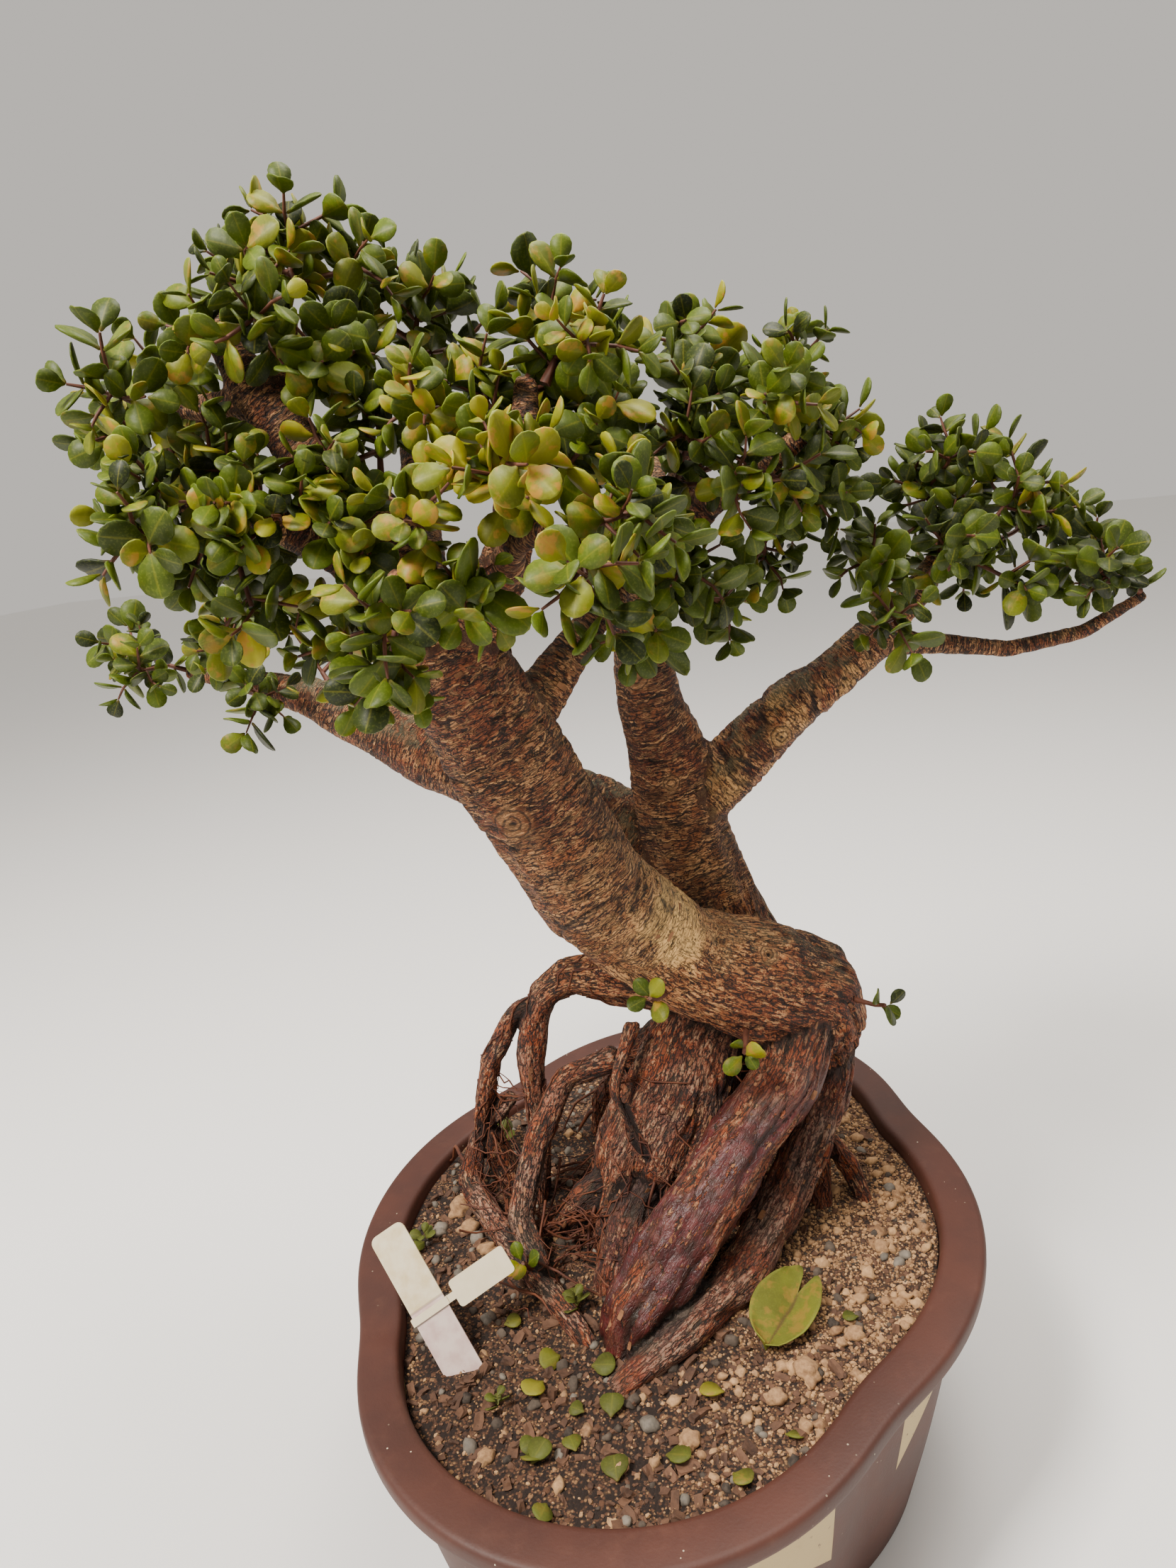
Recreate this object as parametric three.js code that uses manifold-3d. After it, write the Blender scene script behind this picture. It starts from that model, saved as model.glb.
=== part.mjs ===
// A dwarf jade bonsai in its four-lobed stoneware pot. Millimetres, +Z up.
// The origin is the centre of the pot's flat base. The pot is long in Y and narrower in X,
// and the open front of the tree, with its raised roots, looks along -Y.
import * as THREE from 'three';
import { mergeVertices } from 'three/addons/utils/BufferGeometryUtils.js';
import Module from 'manifold-3d';

const wasm = await Module();
wasm.setup();

// Clearance between pieces that touch.
const GAP = 0.3;

// Pot. Its outline is one central disc that bulges to both sides, and a disc at each end.
// The wall profile is [distance in from the lip, height].
const POT_HEIGHT = 160;
const POT_SIDES = 36;
const END_LOBE_OFFSET = 88;
const END_LOBE_RADIUS = 142;
const SIDE_LOBE_RADIUS = 185;
const NOTCH_SHARPNESS = 36;
const FLOOR_THICKNESS = 14;
const WALL_THICKNESS = 12;
const LIP_WIDTH = 24;
const LIP_DEPTH = 11;
const BASE_TUCK = 42;
const WALL_PROFILE = [[30, 50], [21, 95], [15, 130]];
const EDGE_CUT = 3;
const FLOOR_INSET = 50;
const DRAIN_HOLE_RADIUS = 9;
const DRAIN_HOLE_SIDES = 12;
const DRAIN_HOLE_OFFSETS = [-75, 75];

// Soil. It lies a little below the lip and is heaped round the roots and at the back left.
const SOIL_LEVEL = 149;
const HEAP_HEIGHT = 9;
const HEAP_SPREAD = 110;
const BACK_BANK_HEIGHT = 9;
const BACK_BANK_WAY = [-0.6, 0.8];
const SOIL_RINGS = [26, 60, 105];

// Leaves and stems. A leaf is broad near its tip and grows from its stem in one skin.
const LEAF_LENGTH = 28;
const LEAF_SHORTEST = 0.8;
const LEAF_SPREAD = 0.4;
const LEAF_SHOULDER = 0.72;
const LEAF_HALF_WIDTH = 0.37;
const LEAF_LEAN = 0.5;
const PAIR_PITCH = 7;
const STEM_SIDES = 8;
const QUARTER = STEM_SIDES / 4;
const MAIN_STEM_RADIUS = 2.6;
const SIDE_STEM_RADIUS = 1.8;
const STEM_TIP_RADIUS = 1.4;
const SIDE_STEM_LENGTH = 44;
const SPRAY_REACH = 38;
const STEM_SAG = 0.06;
const STEM_TRIES = 14;
const STEM_CLEARANCE = 0.5;
const LEAFY_FROM = 0.9;
const MAIN_PAIRS = 3;
const SIDE_PAIRS = 2;
const SIDE_STEM_PLACES = [0.3, 0.45];
const SIDE_STEM_LENGTHS = [0.85, 1, 1.15];
const SIDE_STEM_AHEAD = 0.2;
const SIDE_STEM_RISE = 0.15;
const WOOD_GNARL = 0.03;
const GOLDEN_ANGLE = Math.PI * (3 - Math.sqrt(5));
const UP = new THREE.Vector3(0, 0, 1);
const SPIN_ZERO = new THREE.Vector3(0.31, 0.17, 0.94).normalize();
const SPROUT_LEAF_LENGTH = 13;
const SPROUT_PAIRS = 2;

// Plant tag: where it leaves the soil, where its top is, and its plate.
const TAG_FOOT = [-76, -131, 150];
const TAG_TOP = [-124, -107, 213];
const TAG_WIDTH = 20;
const TAG_THICKNESS = 1.2;
const TAG_BURIED = 30;
const TAG_FACES = [0.35, -0.85, 0.4];
const LABEL_PLACE = 0.42;
const LABEL_NECK = 4;
const LABEL_NECK_LENGTH = 4;
const LABEL_HEIGHT = 15;
const LABEL_FLAG_WIDTH = 34;
const LABEL_THICKNESS = 0.8;

const material = (color, roughness) => (
  new THREE.MeshStandardMaterial({ color, roughness, metalness: 0 })
);
const STONEWARE = material('#5e3630', 0.6);
const SOIL = material('#9a8468', 0.95);
const BARK = material('#7d5a44', 0.85);
const LEAF = material('#6f8f33', 0.45);
const TAG_PLASTIC = material('#efe4dc', 0.5);
const LABEL_PAPER = material('#f3ead2', 0.7);

// Wood, grown as one piece. Each limb runs through hand-placed points [x, y, z, radius].
const LIMBS = {
  main_trunk: {
    sides: 12,
    points: [
      [96, 50, 262, 27], [90, 42, 286, 33], [64, 24, 304, 35], [28, 0, 328, 31],
      [-10, -30, 380, 32], [-35, -55, 460, 30], [-50, -65, 505, 27], [-62, -70, 545, 21],
    ],
  },
  low_trunk: {
    sides: 10,
    points: [
      [60, 55, 275, 32], [30, 70, 320, 35], [0, 75, 357, 32], [-40, 75, 385, 29], [-85, 70, 408, 26],
      [-140, 65, 432, 22], [-180, 65, 453, 18], [-220, 65, 475, 13], [-262, 60, 488, 9], [-305, 58, 498, 6],
    ],
  },
  second_stem: {
    sides: 10,
    points: [
      [32, 65, 320, 33], [20, 65, 375, 28], [15, 60, 430, 24], [10, 50, 465, 20],
      [10, 45, 510, 16], [25, 50, 545, 14], [40, 55, 580, 11], [50, 62, 612, 7],
    ],
  },
  right_branch: {
    sides: 8,
    points: [
      [22, 62, 395, 20], [55, 75, 422, 19], [85, 85, 450, 17], [110, 95, 465, 15],
      [135, 105, 486, 12], [160, 115, 510, 9], [178, 120, 538, 6],
    ],
  },
  right_twig: {
    sides: 6,
    points: [
      [132, 103, 480, 9], [170, 115, 475, 7], [205, 124, 468, 5.5],
      [245, 130, 474, 5], [278, 138, 492, 4],
    ],
  },
  top_left_bough: {
    sides: 8,
    points: [
      [-60, -68, 535, 20], [-80, -70, 580, 17], [-110, -70, 615, 14],
      [-130, -74, 650, 11], [-146, -70, 682, 7],
    ],
  },
  peak_bough: {
    sides: 6,
    points: [[-122, -72, 628, 10], [-118, -64, 652, 8], [-108, -62, 680, 5]],
  },
  left_arm: {
    sides: 6,
    points: [[-128, -72, 640, 9], [-158, -74, 642, 7], [-182, -74, 646, 5]],
  },
  left_low_bough: {
    sides: 7,
    points: [[-60, -70, 535, 15], [-85, -98, 572, 11], [-112, -118, 594, 8], [-150, -126, 602, 5]],
  },
  middle_bough: {
    sides: 7,
    points: [[-52, -66, 515, 20], [-20, -64, 555, 13], [-8, -56, 598, 10], [-4, -48, 636, 6]],
  },
  front_bough: {
    sides: 6,
    points: [[-18, -70, 552, 10], [-2, -96, 566, 7], [18, -112, 572, 5]],
  },
  front_left_bough: {
    sides: 6,
    points: [[-56, -72, 522, 16], [-50, -100, 546, 8], [-46, -122, 560, 5]],
  },
  fork_branch: {
    sides: 7,
    points: [
      [-32, -46, 474, 17], [-10, -25, 505, 11], [12, -8, 532, 9],
      [38, 10, 562, 8], [62, 18, 600, 5],
    ],
  },
  back_bough: {
    sides: 6,
    points: [[-62, -68, 538, 14], [-72, -34, 592, 10], [-84, -6, 646, 6]],
  },
  dark_branch: {
    sides: 7,
    points: [[24, 50, 543, 12], [55, 50, 570, 9], [90, 54, 588, 7], [118, 60, 608, 5]],
  },
  far_branch: {
    sides: 6,
    points: [[24, 50, 543, 11], [20, 84, 575, 8], [8, 108, 602, 5]],
  },
};

// Roots, part of the same wood. They spread from the raised bulb and the trunk's bend into the soil.
const ROOTS = {
  bulb: {
    sides: 10,
    points: [
      [45, 45, 300, 27], [28, 32, 268, 30], [15, 15, 232, 35],
      [0, 2, 200, 38], [-12, -5, 150, 42],
    ],
  },
  heart: {
    sides: 7,
    points: [
      [60, 45, 285, 27], [50, 38, 230, 21],
      [35, 20, 180, 25], [25, 10, 140, 28],
    ],
  },
  maroon_root: {
    sides: 9,
    points: [
      [90, 32, 285, 23], [78, 4, 250, 20], [54, -30, 224, 20],
      [31, -61, 195, 21], [9, -87, 164, 20], [0, -100, 135, 16],
    ],
  },
  long_right_root: {
    sides: 7,
    points: [
      [106, 56, 272, 15], [97, 40, 222, 15], [78, -2, 182, 15],
      [56, -52, 162, 14], [32, -95, 158, 12], [4, -128, 148, 9],
    ],
  },
  left_arch_root: {
    sides: 7,
    points: [
      [25, 30, 300, 22], [-22, 25, 302, 17], [-50, 20, 304, 13], [-72, 20, 284, 10],
      [-80, 14, 244, 9], [-78, 8, 196, 8], [-84, 0, 140, 7],
    ],
  },
  thin_arch_root: {
    sides: 6,
    points: [
      [-58, 22, 296, 8], [-88, 20, 276, 7.5], [-110, 20, 242, 7.5],
      [-121, 20, 200, 8.5], [-112, 20, 166, 9], [-100, 8, 138, 7],
    ],
  },
  left_long_root: {
    sides: 6,
    points: [
      [-100, 24, 215, 6], [-124, 18, 188, 8], [-128, 0, 164, 8.5], [-104, -24, 158, 9],
      [-62, -64, 158, 8.5], [-26, -94, 156, 7], [-4, -108, 142, 6],
    ],
  },
  left_middle_root: {
    sides: 6,
    points: [
      [-20, 12, 255, 10], [-56, 8, 240, 8], [-72, -14, 205, 8.5],
      [-76, -40, 174, 9], [-56, -64, 158, 8], [-34, -78, 140, 6],
    ],
  },
  low_left_root: {
    sides: 6,
    points: [
      [-10, -2, 195, 18], [-40, -20, 176, 14],
      [-62, -22, 150, 11], [-76, -22, 128, 8],
    ],
  },
  front_knee_root: {
    sides: 7,
    points: [
      [5, -8, 205, 20], [-8, -36, 180, 16],
      [-14, -60, 158, 12], [-16, -74, 130, 9],
    ],
  },
  crossing_root: {
    sides: 5,
    points: [
      [-6, 2, 285, 6], [-14, -20, 252, 5],
      [2, -26, 218, 4.5], [24, -24, 194, 4.5],
    ],
  },
  back_root: {
    sides: 7,
    points: [
      [60, 62, 275, 22], [50, 92, 225, 17],
      [40, 112, 180, 14], [34, 122, 130, 11],
    ],
  },
  back_left_root: {
    sides: 6,
    points: [
      [10, 50, 262, 14], [-30, 66, 222, 11],
      [-56, 76, 180, 10], [-70, 82, 132, 8],
    ],
  },
  right_back_root: {
    sides: 6,
    points: [
      [98, 55, 262, 11], [92, 54, 215, 8.5],
      [90, 40, 176, 8.5], [92, 22, 140, 7],
    ],
  },
  right_side_root: { sides: 5, points: [[92, 48, 190, 7], [108, 46, 168, 7.5], [122, 34, 140, 6]] },
};

// Where the foliage is: the limb that carries it, the stretch of that limb that its sprays leave from,
// the most sprays that it has and the side stems of each, then its centre and its half-sizes.
const CLOUDS = [
  {
    name: 'peak', limb: 'peak_bough', reach: [0.6, 1], sprays: 2, sideStems: 2,
    centre: [-108, -62, 692], half: [14, 20, 10],
  },
  {
    name: 'left_arm', limb: 'left_arm', reach: [0.5, 1], sprays: 2, sideStems: 2,
    centre: [-178, -76, 646], half: [16, 24, 10],
  },
  {
    name: 'upper_left', limb: 'top_left_bough', reach: [0.9, 1], sprays: 1, sideStems: 1,
    centre: [-140, -80, 684], half: [12, 16, 6],
  },
  {
    name: 'middle_left', limb: 'top_left_bough', reach: [0.2, 0.62], sprays: 2, sideStems: 2,
    centre: [-88, -80, 646], half: [26, 22, 20],
  },
  {
    name: 'low_left', limb: 'left_low_bough', reach: [0.35, 1], sprays: 3, sideStems: 2,
    centre: [-156, -100, 600], half: [28, 26, 24],
  },
  {
    name: 'front_left', limb: 'front_left_bough', reach: [0.6, 1], sprays: 3, sideStems: 2,
    centre: [-36, -124, 566], half: [40, 16, 22],
  },
  {
    name: 'front_middle', limb: 'front_bough', reach: [0.3, 1], sprays: 2, sideStems: 2,
    centre: [16, -104, 588], half: [44, 24, 24],
  },
  {
    name: 'top_middle', limb: 'middle_bough', reach: [0.52, 1], sprays: 4, sideStems: 2,
    centre: [-12, -44, 622], half: [48, 36, 12],
  },
  {
    name: 'right_lobe', limb: 'fork_branch', reach: [0.68, 1], sprays: 3, sideStems: 2,
    centre: [84, 28, 620], half: [40, 30, 20],
  },
  {
    name: 'low_middle', limb: 'fork_branch', reach: [0.4, 0.6], sprays: 1, sideStems: 2,
    centre: [34, 0, 540], half: [30, 24, 20],
  },
  {
    name: 'right_side', limb: 'dark_branch', reach: [0.45, 1], sprays: 2, sideStems: 2,
    centre: [108, 54, 588], half: [18, 34, 24],
  },
  {
    name: 'stem_top', limb: 'second_stem', reach: [1, 1], sprays: 1, sideStems: 1,
    centre: [52, 98, 626], half: [24, 20, 16],
  },
  {
    name: 'far_side', limb: 'far_branch', reach: [0.6, 1], sprays: 1, sideStems: 2,
    centre: [2, 118, 604], half: [30, 26, 22],
  },
  {
    name: 'back', limb: 'back_bough', reach: [0.9, 1], sprays: 1, sideStems: 2,
    centre: [-94, 0, 690], half: [26, 26, 14],
  },
  {
    name: 'back_left', limb: 'low_trunk', reach: [0.7, 0.9], sprays: 2, sideStems: 2,
    centre: [-236, 62, 520], half: [50, 34, 14],
  },
  {
    name: 'back_left_tip', limb: 'low_trunk', reach: [1, 1], sprays: 1, sideStems: 1,
    centre: [-318, 54, 518], half: [20, 20, 10],
  },
  {
    name: 'right_cluster', limb: 'right_branch', reach: [0.66, 1], sprays: 4, sideStems: 2,
    centre: [192, 118, 544], half: [42, 36, 24],
  },
  {
    name: 'right_far', limb: 'right_twig', reach: [0.8, 1], sprays: 1, sideStems: 1,
    centre: [264, 136, 508], half: [26, 22, 16],
  },
];

// Shoots on the old wood: where each leaves it, the way it grows, and its length.
const SPROUTS = [
  { name: 'sprout_trunk', foot: [26, -33, 322], way: [-0.1, -1, 0.5], length: 32 },
  { name: 'sprout_bend', foot: [62, -5, 290], way: [0.1, -1, -0.1], length: 30 },
  { name: 'sprout_side', foot: [114, 32, 290], way: [1, -0.6, 0.2], length: 32 },
  { name: 'sprout_root', foot: [-58, -64, 160], way: [-0.2, -0.8, 1], length: 26 },
];

// A closed three.js geometry as a solid. Faces that have no area are dropped.
function toSolid(geometry) {
  const bare = geometry.clone();
  for (const name of Object.keys(bare.attributes)) {
    if (name !== 'position') bare.deleteAttribute(name);
  }
  const merged = mergeVertices(bare, 1e-4);
  const corners = Array.from(merged.index.array);
  const faces = [];
  for (let i = 0; i < corners.length; i += 3) {
    const [a, b, c] = corners.slice(i, i + 3);
    if (a !== b && b !== c && c !== a) faces.push(a, b, c);
  }
  return new wasm.Manifold(new wasm.Mesh({
    numProp: 3,
    vertProperties: new Float32Array(merged.attributes.position.array),
    triVerts: new Uint32Array(faces),
  }));
}

function toMesh(name, solid, look) {
  const { vertProperties, triVerts } = solid.getMesh();
  const geometry = new THREE.BufferGeometry();
  geometry.setAttribute('position', new THREE.BufferAttribute(vertProperties, 3));
  geometry.setIndex(new THREE.BufferAttribute(triVerts, 1));
  geometry.computeVertexNormals();
  const mesh = new THREE.Mesh(geometry, look);
  mesh.name = name;
  return mesh;
}

// The biggest shell of a solid: loose scraps of a cut are dropped, and sealed pockets are filled.
function biggest(solid) {
  return solid.decompose().reduce((best, body) => (body.volume() > best.volume() ? body : best));
}

// A number from 0 to 1 that depends only on the seeds.
function chance(...seeds) {
  const mixed = seeds.reduce((sum, seed, i) => sum + seed * (12.9898 + 65.233 * i), 1);
  const wave = Math.sin(mixed) * 43758.5453;
  return wave - Math.floor(wave);
}

// The pot's lip, as a distance from its axis at one angle. The discs blend softly at the notches.
function lipRadius(angle) {
  const endDisc = (side) => {
    const toCentre = side * Math.sin(angle) * END_LOBE_OFFSET;
    return toCentre + Math.sqrt(END_LOBE_RADIUS ** 2 - END_LOBE_OFFSET ** 2 + toCentre ** 2);
  };
  const reaches = [SIDE_LOBE_RADIUS, endDisc(1), endDisc(-1)];
  const sum = reaches.reduce((total, reach) => total + reach ** NOTCH_SHARPNESS, 0);
  return sum ** (1 / NOTCH_SHARPNESS);
}

// A lathe that follows the lobes. Its profile is [distance in from the lip, height]; null is the axis.
function lobedLathe(profile, heightOf = (x, y, z) => z) {
  const outline = profile.map(([inset, z]) => (
    new THREE.Vector2(inset === null ? 0 : SIDE_LOBE_RADIUS - inset, z)
  ));
  const geometry = new THREE.LatheGeometry(outline, POT_SIDES).rotateX(Math.PI / 2);
  const position = geometry.attributes.position;
  for (let i = 0; i < position.count; i += 1) {
    const plain = Math.hypot(position.getX(i), position.getY(i));
    const angle = Math.atan2(position.getY(i), position.getX(i));
    const lobed = plain < 1e-3 ? 0 : lipRadius(angle) - (SIDE_LOBE_RADIUS - plain);
    const x = Math.cos(angle) * lobed;
    const y = Math.sin(angle) * lobed;
    position.setXYZ(i, x, y, heightOf(x, y, position.getZ(i)));
  }
  return toSolid(geometry);
}

function makePot() {
  const lipBottom = POT_HEIGHT - LIP_DEPTH;
  const outside = [[BASE_TUCK, 0], [BASE_TUCK - EDGE_CUT, EDGE_CUT], ...WALL_PROFILE, [12, lipBottom - 2]];
  const lip = [
    [EDGE_CUT, lipBottom], [0, lipBottom + EDGE_CUT], [0, POT_HEIGHT - EDGE_CUT], [EDGE_CUT, POT_HEIGHT],
    [LIP_WIDTH - EDGE_CUT, POT_HEIGHT], [LIP_WIDTH, POT_HEIGHT - EDGE_CUT],
  ];
  const inside = WALL_PROFILE.toReversed().map(([inset, z]) => [inset + WALL_THICKNESS, z]);
  const floor = [[FLOOR_INSET, FLOOR_THICKNESS], [null, FLOOR_THICKNESS]];
  let pot = lobedLathe([[null, 0], ...outside, ...lip, ...inside, ...floor]);
  for (const y of DRAIN_HOLE_OFFSETS) {
    const drill = [DRAIN_HOLE_RADIUS, DRAIN_HOLE_RADIUS, 3 * FLOOR_THICKNESS, DRAIN_HOLE_SIDES];
    const hole = new THREE.CylinderGeometry(...drill).rotateX(Math.PI / 2).translate(0, y, 0);
    pot = pot.subtract(toSolid(hole));
  }
  return pot;
}

// The soil's surface: a low heap round the roots, and a bank that climbs to the lip at the back left.
function soilHeight(x, y) {
  const heap = HEAP_HEIGHT * Math.exp(-(x ** 2 + y ** 2) / HEAP_SPREAD ** 2);
  const towardsBank = Math.max(0, (x * BACK_BANK_WAY[0] + y * BACK_BANK_WAY[1]) / SIDE_LOBE_RADIUS);
  return SOIL_LEVEL + heap + BACK_BANK_HEIGHT * towardsBank ** 3;
}

function makeSoil(holes) {
  const bottom = FLOOR_THICKNESS + GAP;
  const sides = WALL_PROFILE.map(([inset, z]) => [inset + WALL_THICKNESS + 2 * GAP, z]);
  const top = SOIL_RINGS.map((inset) => [inset, SOIL_LEVEL]);
  const profile = [[null, bottom], [FLOOR_INSET + 2 * GAP, bottom], ...sides, ...top, [null, SOIL_LEVEL]];
  const filling = lobedLathe(profile, (x, y, z) => (z >= SOIL_LEVEL ? soilHeight(x, y) : z));
  return biggest(holes.reduce((soil, hole) => soil.subtract(hole), filling));
}

function curveThrough(points) {
  const places = points.map(([x, y, z]) => new THREE.Vector3(x, y, z));
  return new THREE.CatmullRomCurve3(places, false, 'centripetal');
}

function radiusAt(points, t) {
  const spot = t * (points.length - 1);
  const from = Math.min(Math.floor(spot), points.length - 2);
  return THREE.MathUtils.lerp(points[from][3], points[from + 1][3], spot - from);
}

// A round limb through points [x, y, z, radius]: a capped cylinder bent along their curve.
// Its section swells a little by the gnarl, and grow makes it stouter all over.
function limbSolid(points, { sides, rings, gnarl = 0, grow = 0 }) {
  const curve = curveThrough(points);
  const frames = [];
  let across = new THREE.Vector3(1, 0.3, 0.2);
  for (let ring = 0; ring <= rings; ring += 1) {
    const along = curve.getTangent(ring / rings);
    across = across.clone().addScaledVector(along, -across.dot(along)).normalize();
    frames.push({ along, across, beside: across.clone().cross(along) });
  }
  const limb = new THREE.CylinderGeometry(1, 1, 1, sides, rings);
  const position = limb.attributes.position;
  for (let i = 0; i < position.count; i += 1) {
    const unit = new THREE.Vector3().fromBufferAttribute(position, i);
    const t = unit.y + 0.5;
    const frame = frames[Math.round(t * rings)];
    const angle = Math.atan2(unit.z, unit.x);
    const swell = 1 + gnarl * (Math.sin(2 * angle + 11 * t) + Math.sin(3 * angle - 17 * t));
    const radius = radiusAt(points, t) * swell + grow;
    const place = curve.getPoint(t).addScaledVector(frame.across, unit.x * radius);
    place.addScaledVector(frame.beside, unit.z * radius);
    place.addScaledVector(frame.along, Math.sign(unit.y) * (Math.abs(unit.y) > 0.499 ? grow : 0));
    position.setXYZ(i, place.x, place.y, place.z);
  }
  return toSolid(limb);
}

function makeWood(grow = 0) {
  const limbs = [...Object.values(LIMBS), ...Object.values(ROOTS)].map(({ sides, points }) => (
    limbSolid(points, { sides, rings: points.length - 1, gnarl: WOOD_GNARL, grow })
  ));
  return biggest(wasm.Manifold.union(limbs));
}

// A leafy stem in one skin: a slim cone with eight sides, bent along its points. Near its tip every
// other ring is drawn out into a pair of opposite leaves, and each pair is turned a quarter from the last.
function stemSolid({ points, pairs, spin, leafLength, seed }, { grow = 0, start = 0 } = {}) {
  const curve = curveThrough(points);
  const pitch = PAIR_PITCH / curve.getLength();
  const rings = 2 * pairs + 1;
  const stem = new THREE.CylinderGeometry(0, 1, 1, STEM_SIDES, rings);
  const position = stem.attributes.position;
  for (let i = 0; i < position.count; i += 1) {
    const unit = new THREE.Vector3().fromBufferAttribute(position, i);
    const ring = Math.round((unit.y + 0.5) * rings);
    const t = ring === 0 ? start * (1 - pitch * pairs) : 1 - pitch * (rings - ring) / 2;
    const along = curve.getTangent(t);
    const across = SPIN_ZERO.clone().cross(along).normalize().applyAxisAngle(along, spin);
    const beside = across.clone().cross(along);
    const place = curve.getPoint(t);
    const pair = (ring - 2) / 2;
    const onLeafRing = ring > 1 && Number.isInteger(pair) && ring < rings;
    const corner = Math.round(Math.atan2(unit.z, unit.x) / (2 * Math.PI) * STEM_SIDES);
    const fromLeaf = (corner - (pair % 2) * QUARTER + 2 * STEM_SIDES) % STEM_SIDES;
    const leafSide = fromLeaf % (2 * QUARTER) === QUARTER ? null : Math.round(fromLeaf / (2 * QUARTER)) % 2;
    if (unit.x === 0 && unit.z === 0) {
      place.addScaledVector(along, ring === rings ? grow : 0);
    } else if (onLeafRing && leafSide !== null) {
      const length = leafLength * (LEAF_SHORTEST + LEAF_SPREAD * chance(seed, pair, leafSide)) + 2 * grow;
      const offCentre = ((fromLeaf + 2 * QUARTER * (leafSide + 1)) % STEM_SIDES) - 2 * QUARTER;
      const reach = length * (offCentre === 0 ? 1 : LEAF_SHOULDER);
      const turn = (pair % 2) * Math.PI / 2 + leafSide * Math.PI;
      const outward = across.clone().applyAxisAngle(along, -turn);
      const sideways = beside.clone().applyAxisAngle(along, -turn);
      place.addScaledVector(outward, reach * Math.cos(LEAF_LEAN));
      place.addScaledVector(along, reach * Math.sin(LEAF_LEAN));
      place.addScaledVector(sideways, offCentre * length * LEAF_HALF_WIDTH);
    } else {
      const radius = radiusAt(points, t) + grow;
      const angle = Math.atan2(unit.z, unit.x);
      place.addScaledVector(across, radius * Math.cos(angle));
      place.addScaledVector(beside, radius * Math.sin(angle));
    }
    position.setXYZ(i, place.x, place.y, place.z);
  }
  return toSolid(stem);
}

function overlap(a, b) {
  const boxA = a.boundingBox();
  const boxB = b.boundingBox();
  const apart = [0, 1, 2].some((k) => boxA.min[k] > boxB.max[k] || boxB.min[k] > boxA.max[k]);
  return !apart && !a.intersect(b).isEmpty();
}

// The first of a few tries at a stem that is clear of the obstacles, or null.
// Only its leafy end has to be clear of the piece that carries it.
function clearStem(tries, obstacles, carrier) {
  return tries.find((stem) => {
    const whole = stemSolid(stem, { grow: STEM_CLEARANCE });
    const leafyEnd = stemSolid(stem, { grow: STEM_CLEARANCE, start: LEAFY_FROM });
    return !obstacles.some((solid) => overlap(whole, solid)) && !overlap(leafyEnd, carrier);
  }) ?? null;
}

// A spray: a main stem from its foot to the first tip that is free, and side stems that leave it
// at the golden angle.
function growSpray({ foot, tips, pairs, sideStems, leafLength, seed }, wood, others) {
  const mainTries = tips.map((tip, attempt) => {
    const middle = foot.clone().lerp(tip, 0.5).addScaledVector(UP, -STEM_SAG * tip.distanceTo(foot));
    return {
      points: [[...foot, MAIN_STEM_RADIUS], [...middle, SIDE_STEM_RADIUS], [...tip, STEM_TIP_RADIUS]],
      pairs, spin: 2 * Math.PI * chance(seed, 5) + attempt, leafLength, seed,
    };
  });
  const main = clearStem(mainTries, others, wood);
  if (main === null) return null;
  let spray = stemSolid(main);
  const curve = curveThrough(main.points);
  SIDE_STEM_PLACES.slice(0, sideStems).forEach((t, i) => {
    const from = curve.getPoint(t);
    const along = curve.getTangent(t);
    const sideTries = Array.from({ length: STEM_TRIES }, (_, attempt) => {
      const turn = (i + attempt) * GOLDEN_ANGLE + 2 * Math.PI * chance(seed, 2);
      const outward = SPIN_ZERO.clone().cross(along).normalize().applyAxisAngle(along, turn);
      const way = outward.addScaledVector(along, SIDE_STEM_AHEAD).addScaledVector(UP, SIDE_STEM_RISE);
      const length = SIDE_STEM_LENGTH * SIDE_STEM_LENGTHS[attempt % SIDE_STEM_LENGTHS.length];
      const end = from.clone().addScaledVector(way.normalize(), length);
      return {
        points: [[...from, SIDE_STEM_RADIUS], [...end, STEM_TIP_RADIUS]],
        pairs: SIDE_PAIRS, spin: turn, leafLength, seed: seed + 0.37 * (i + 1),
      };
    });
    const side = clearStem(sideTries, others.concat(wood), spray);
    if (side !== null) spray = spray.add(stemSolid(side));
  });
  return biggest(spray.subtract(wood));
}

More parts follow.
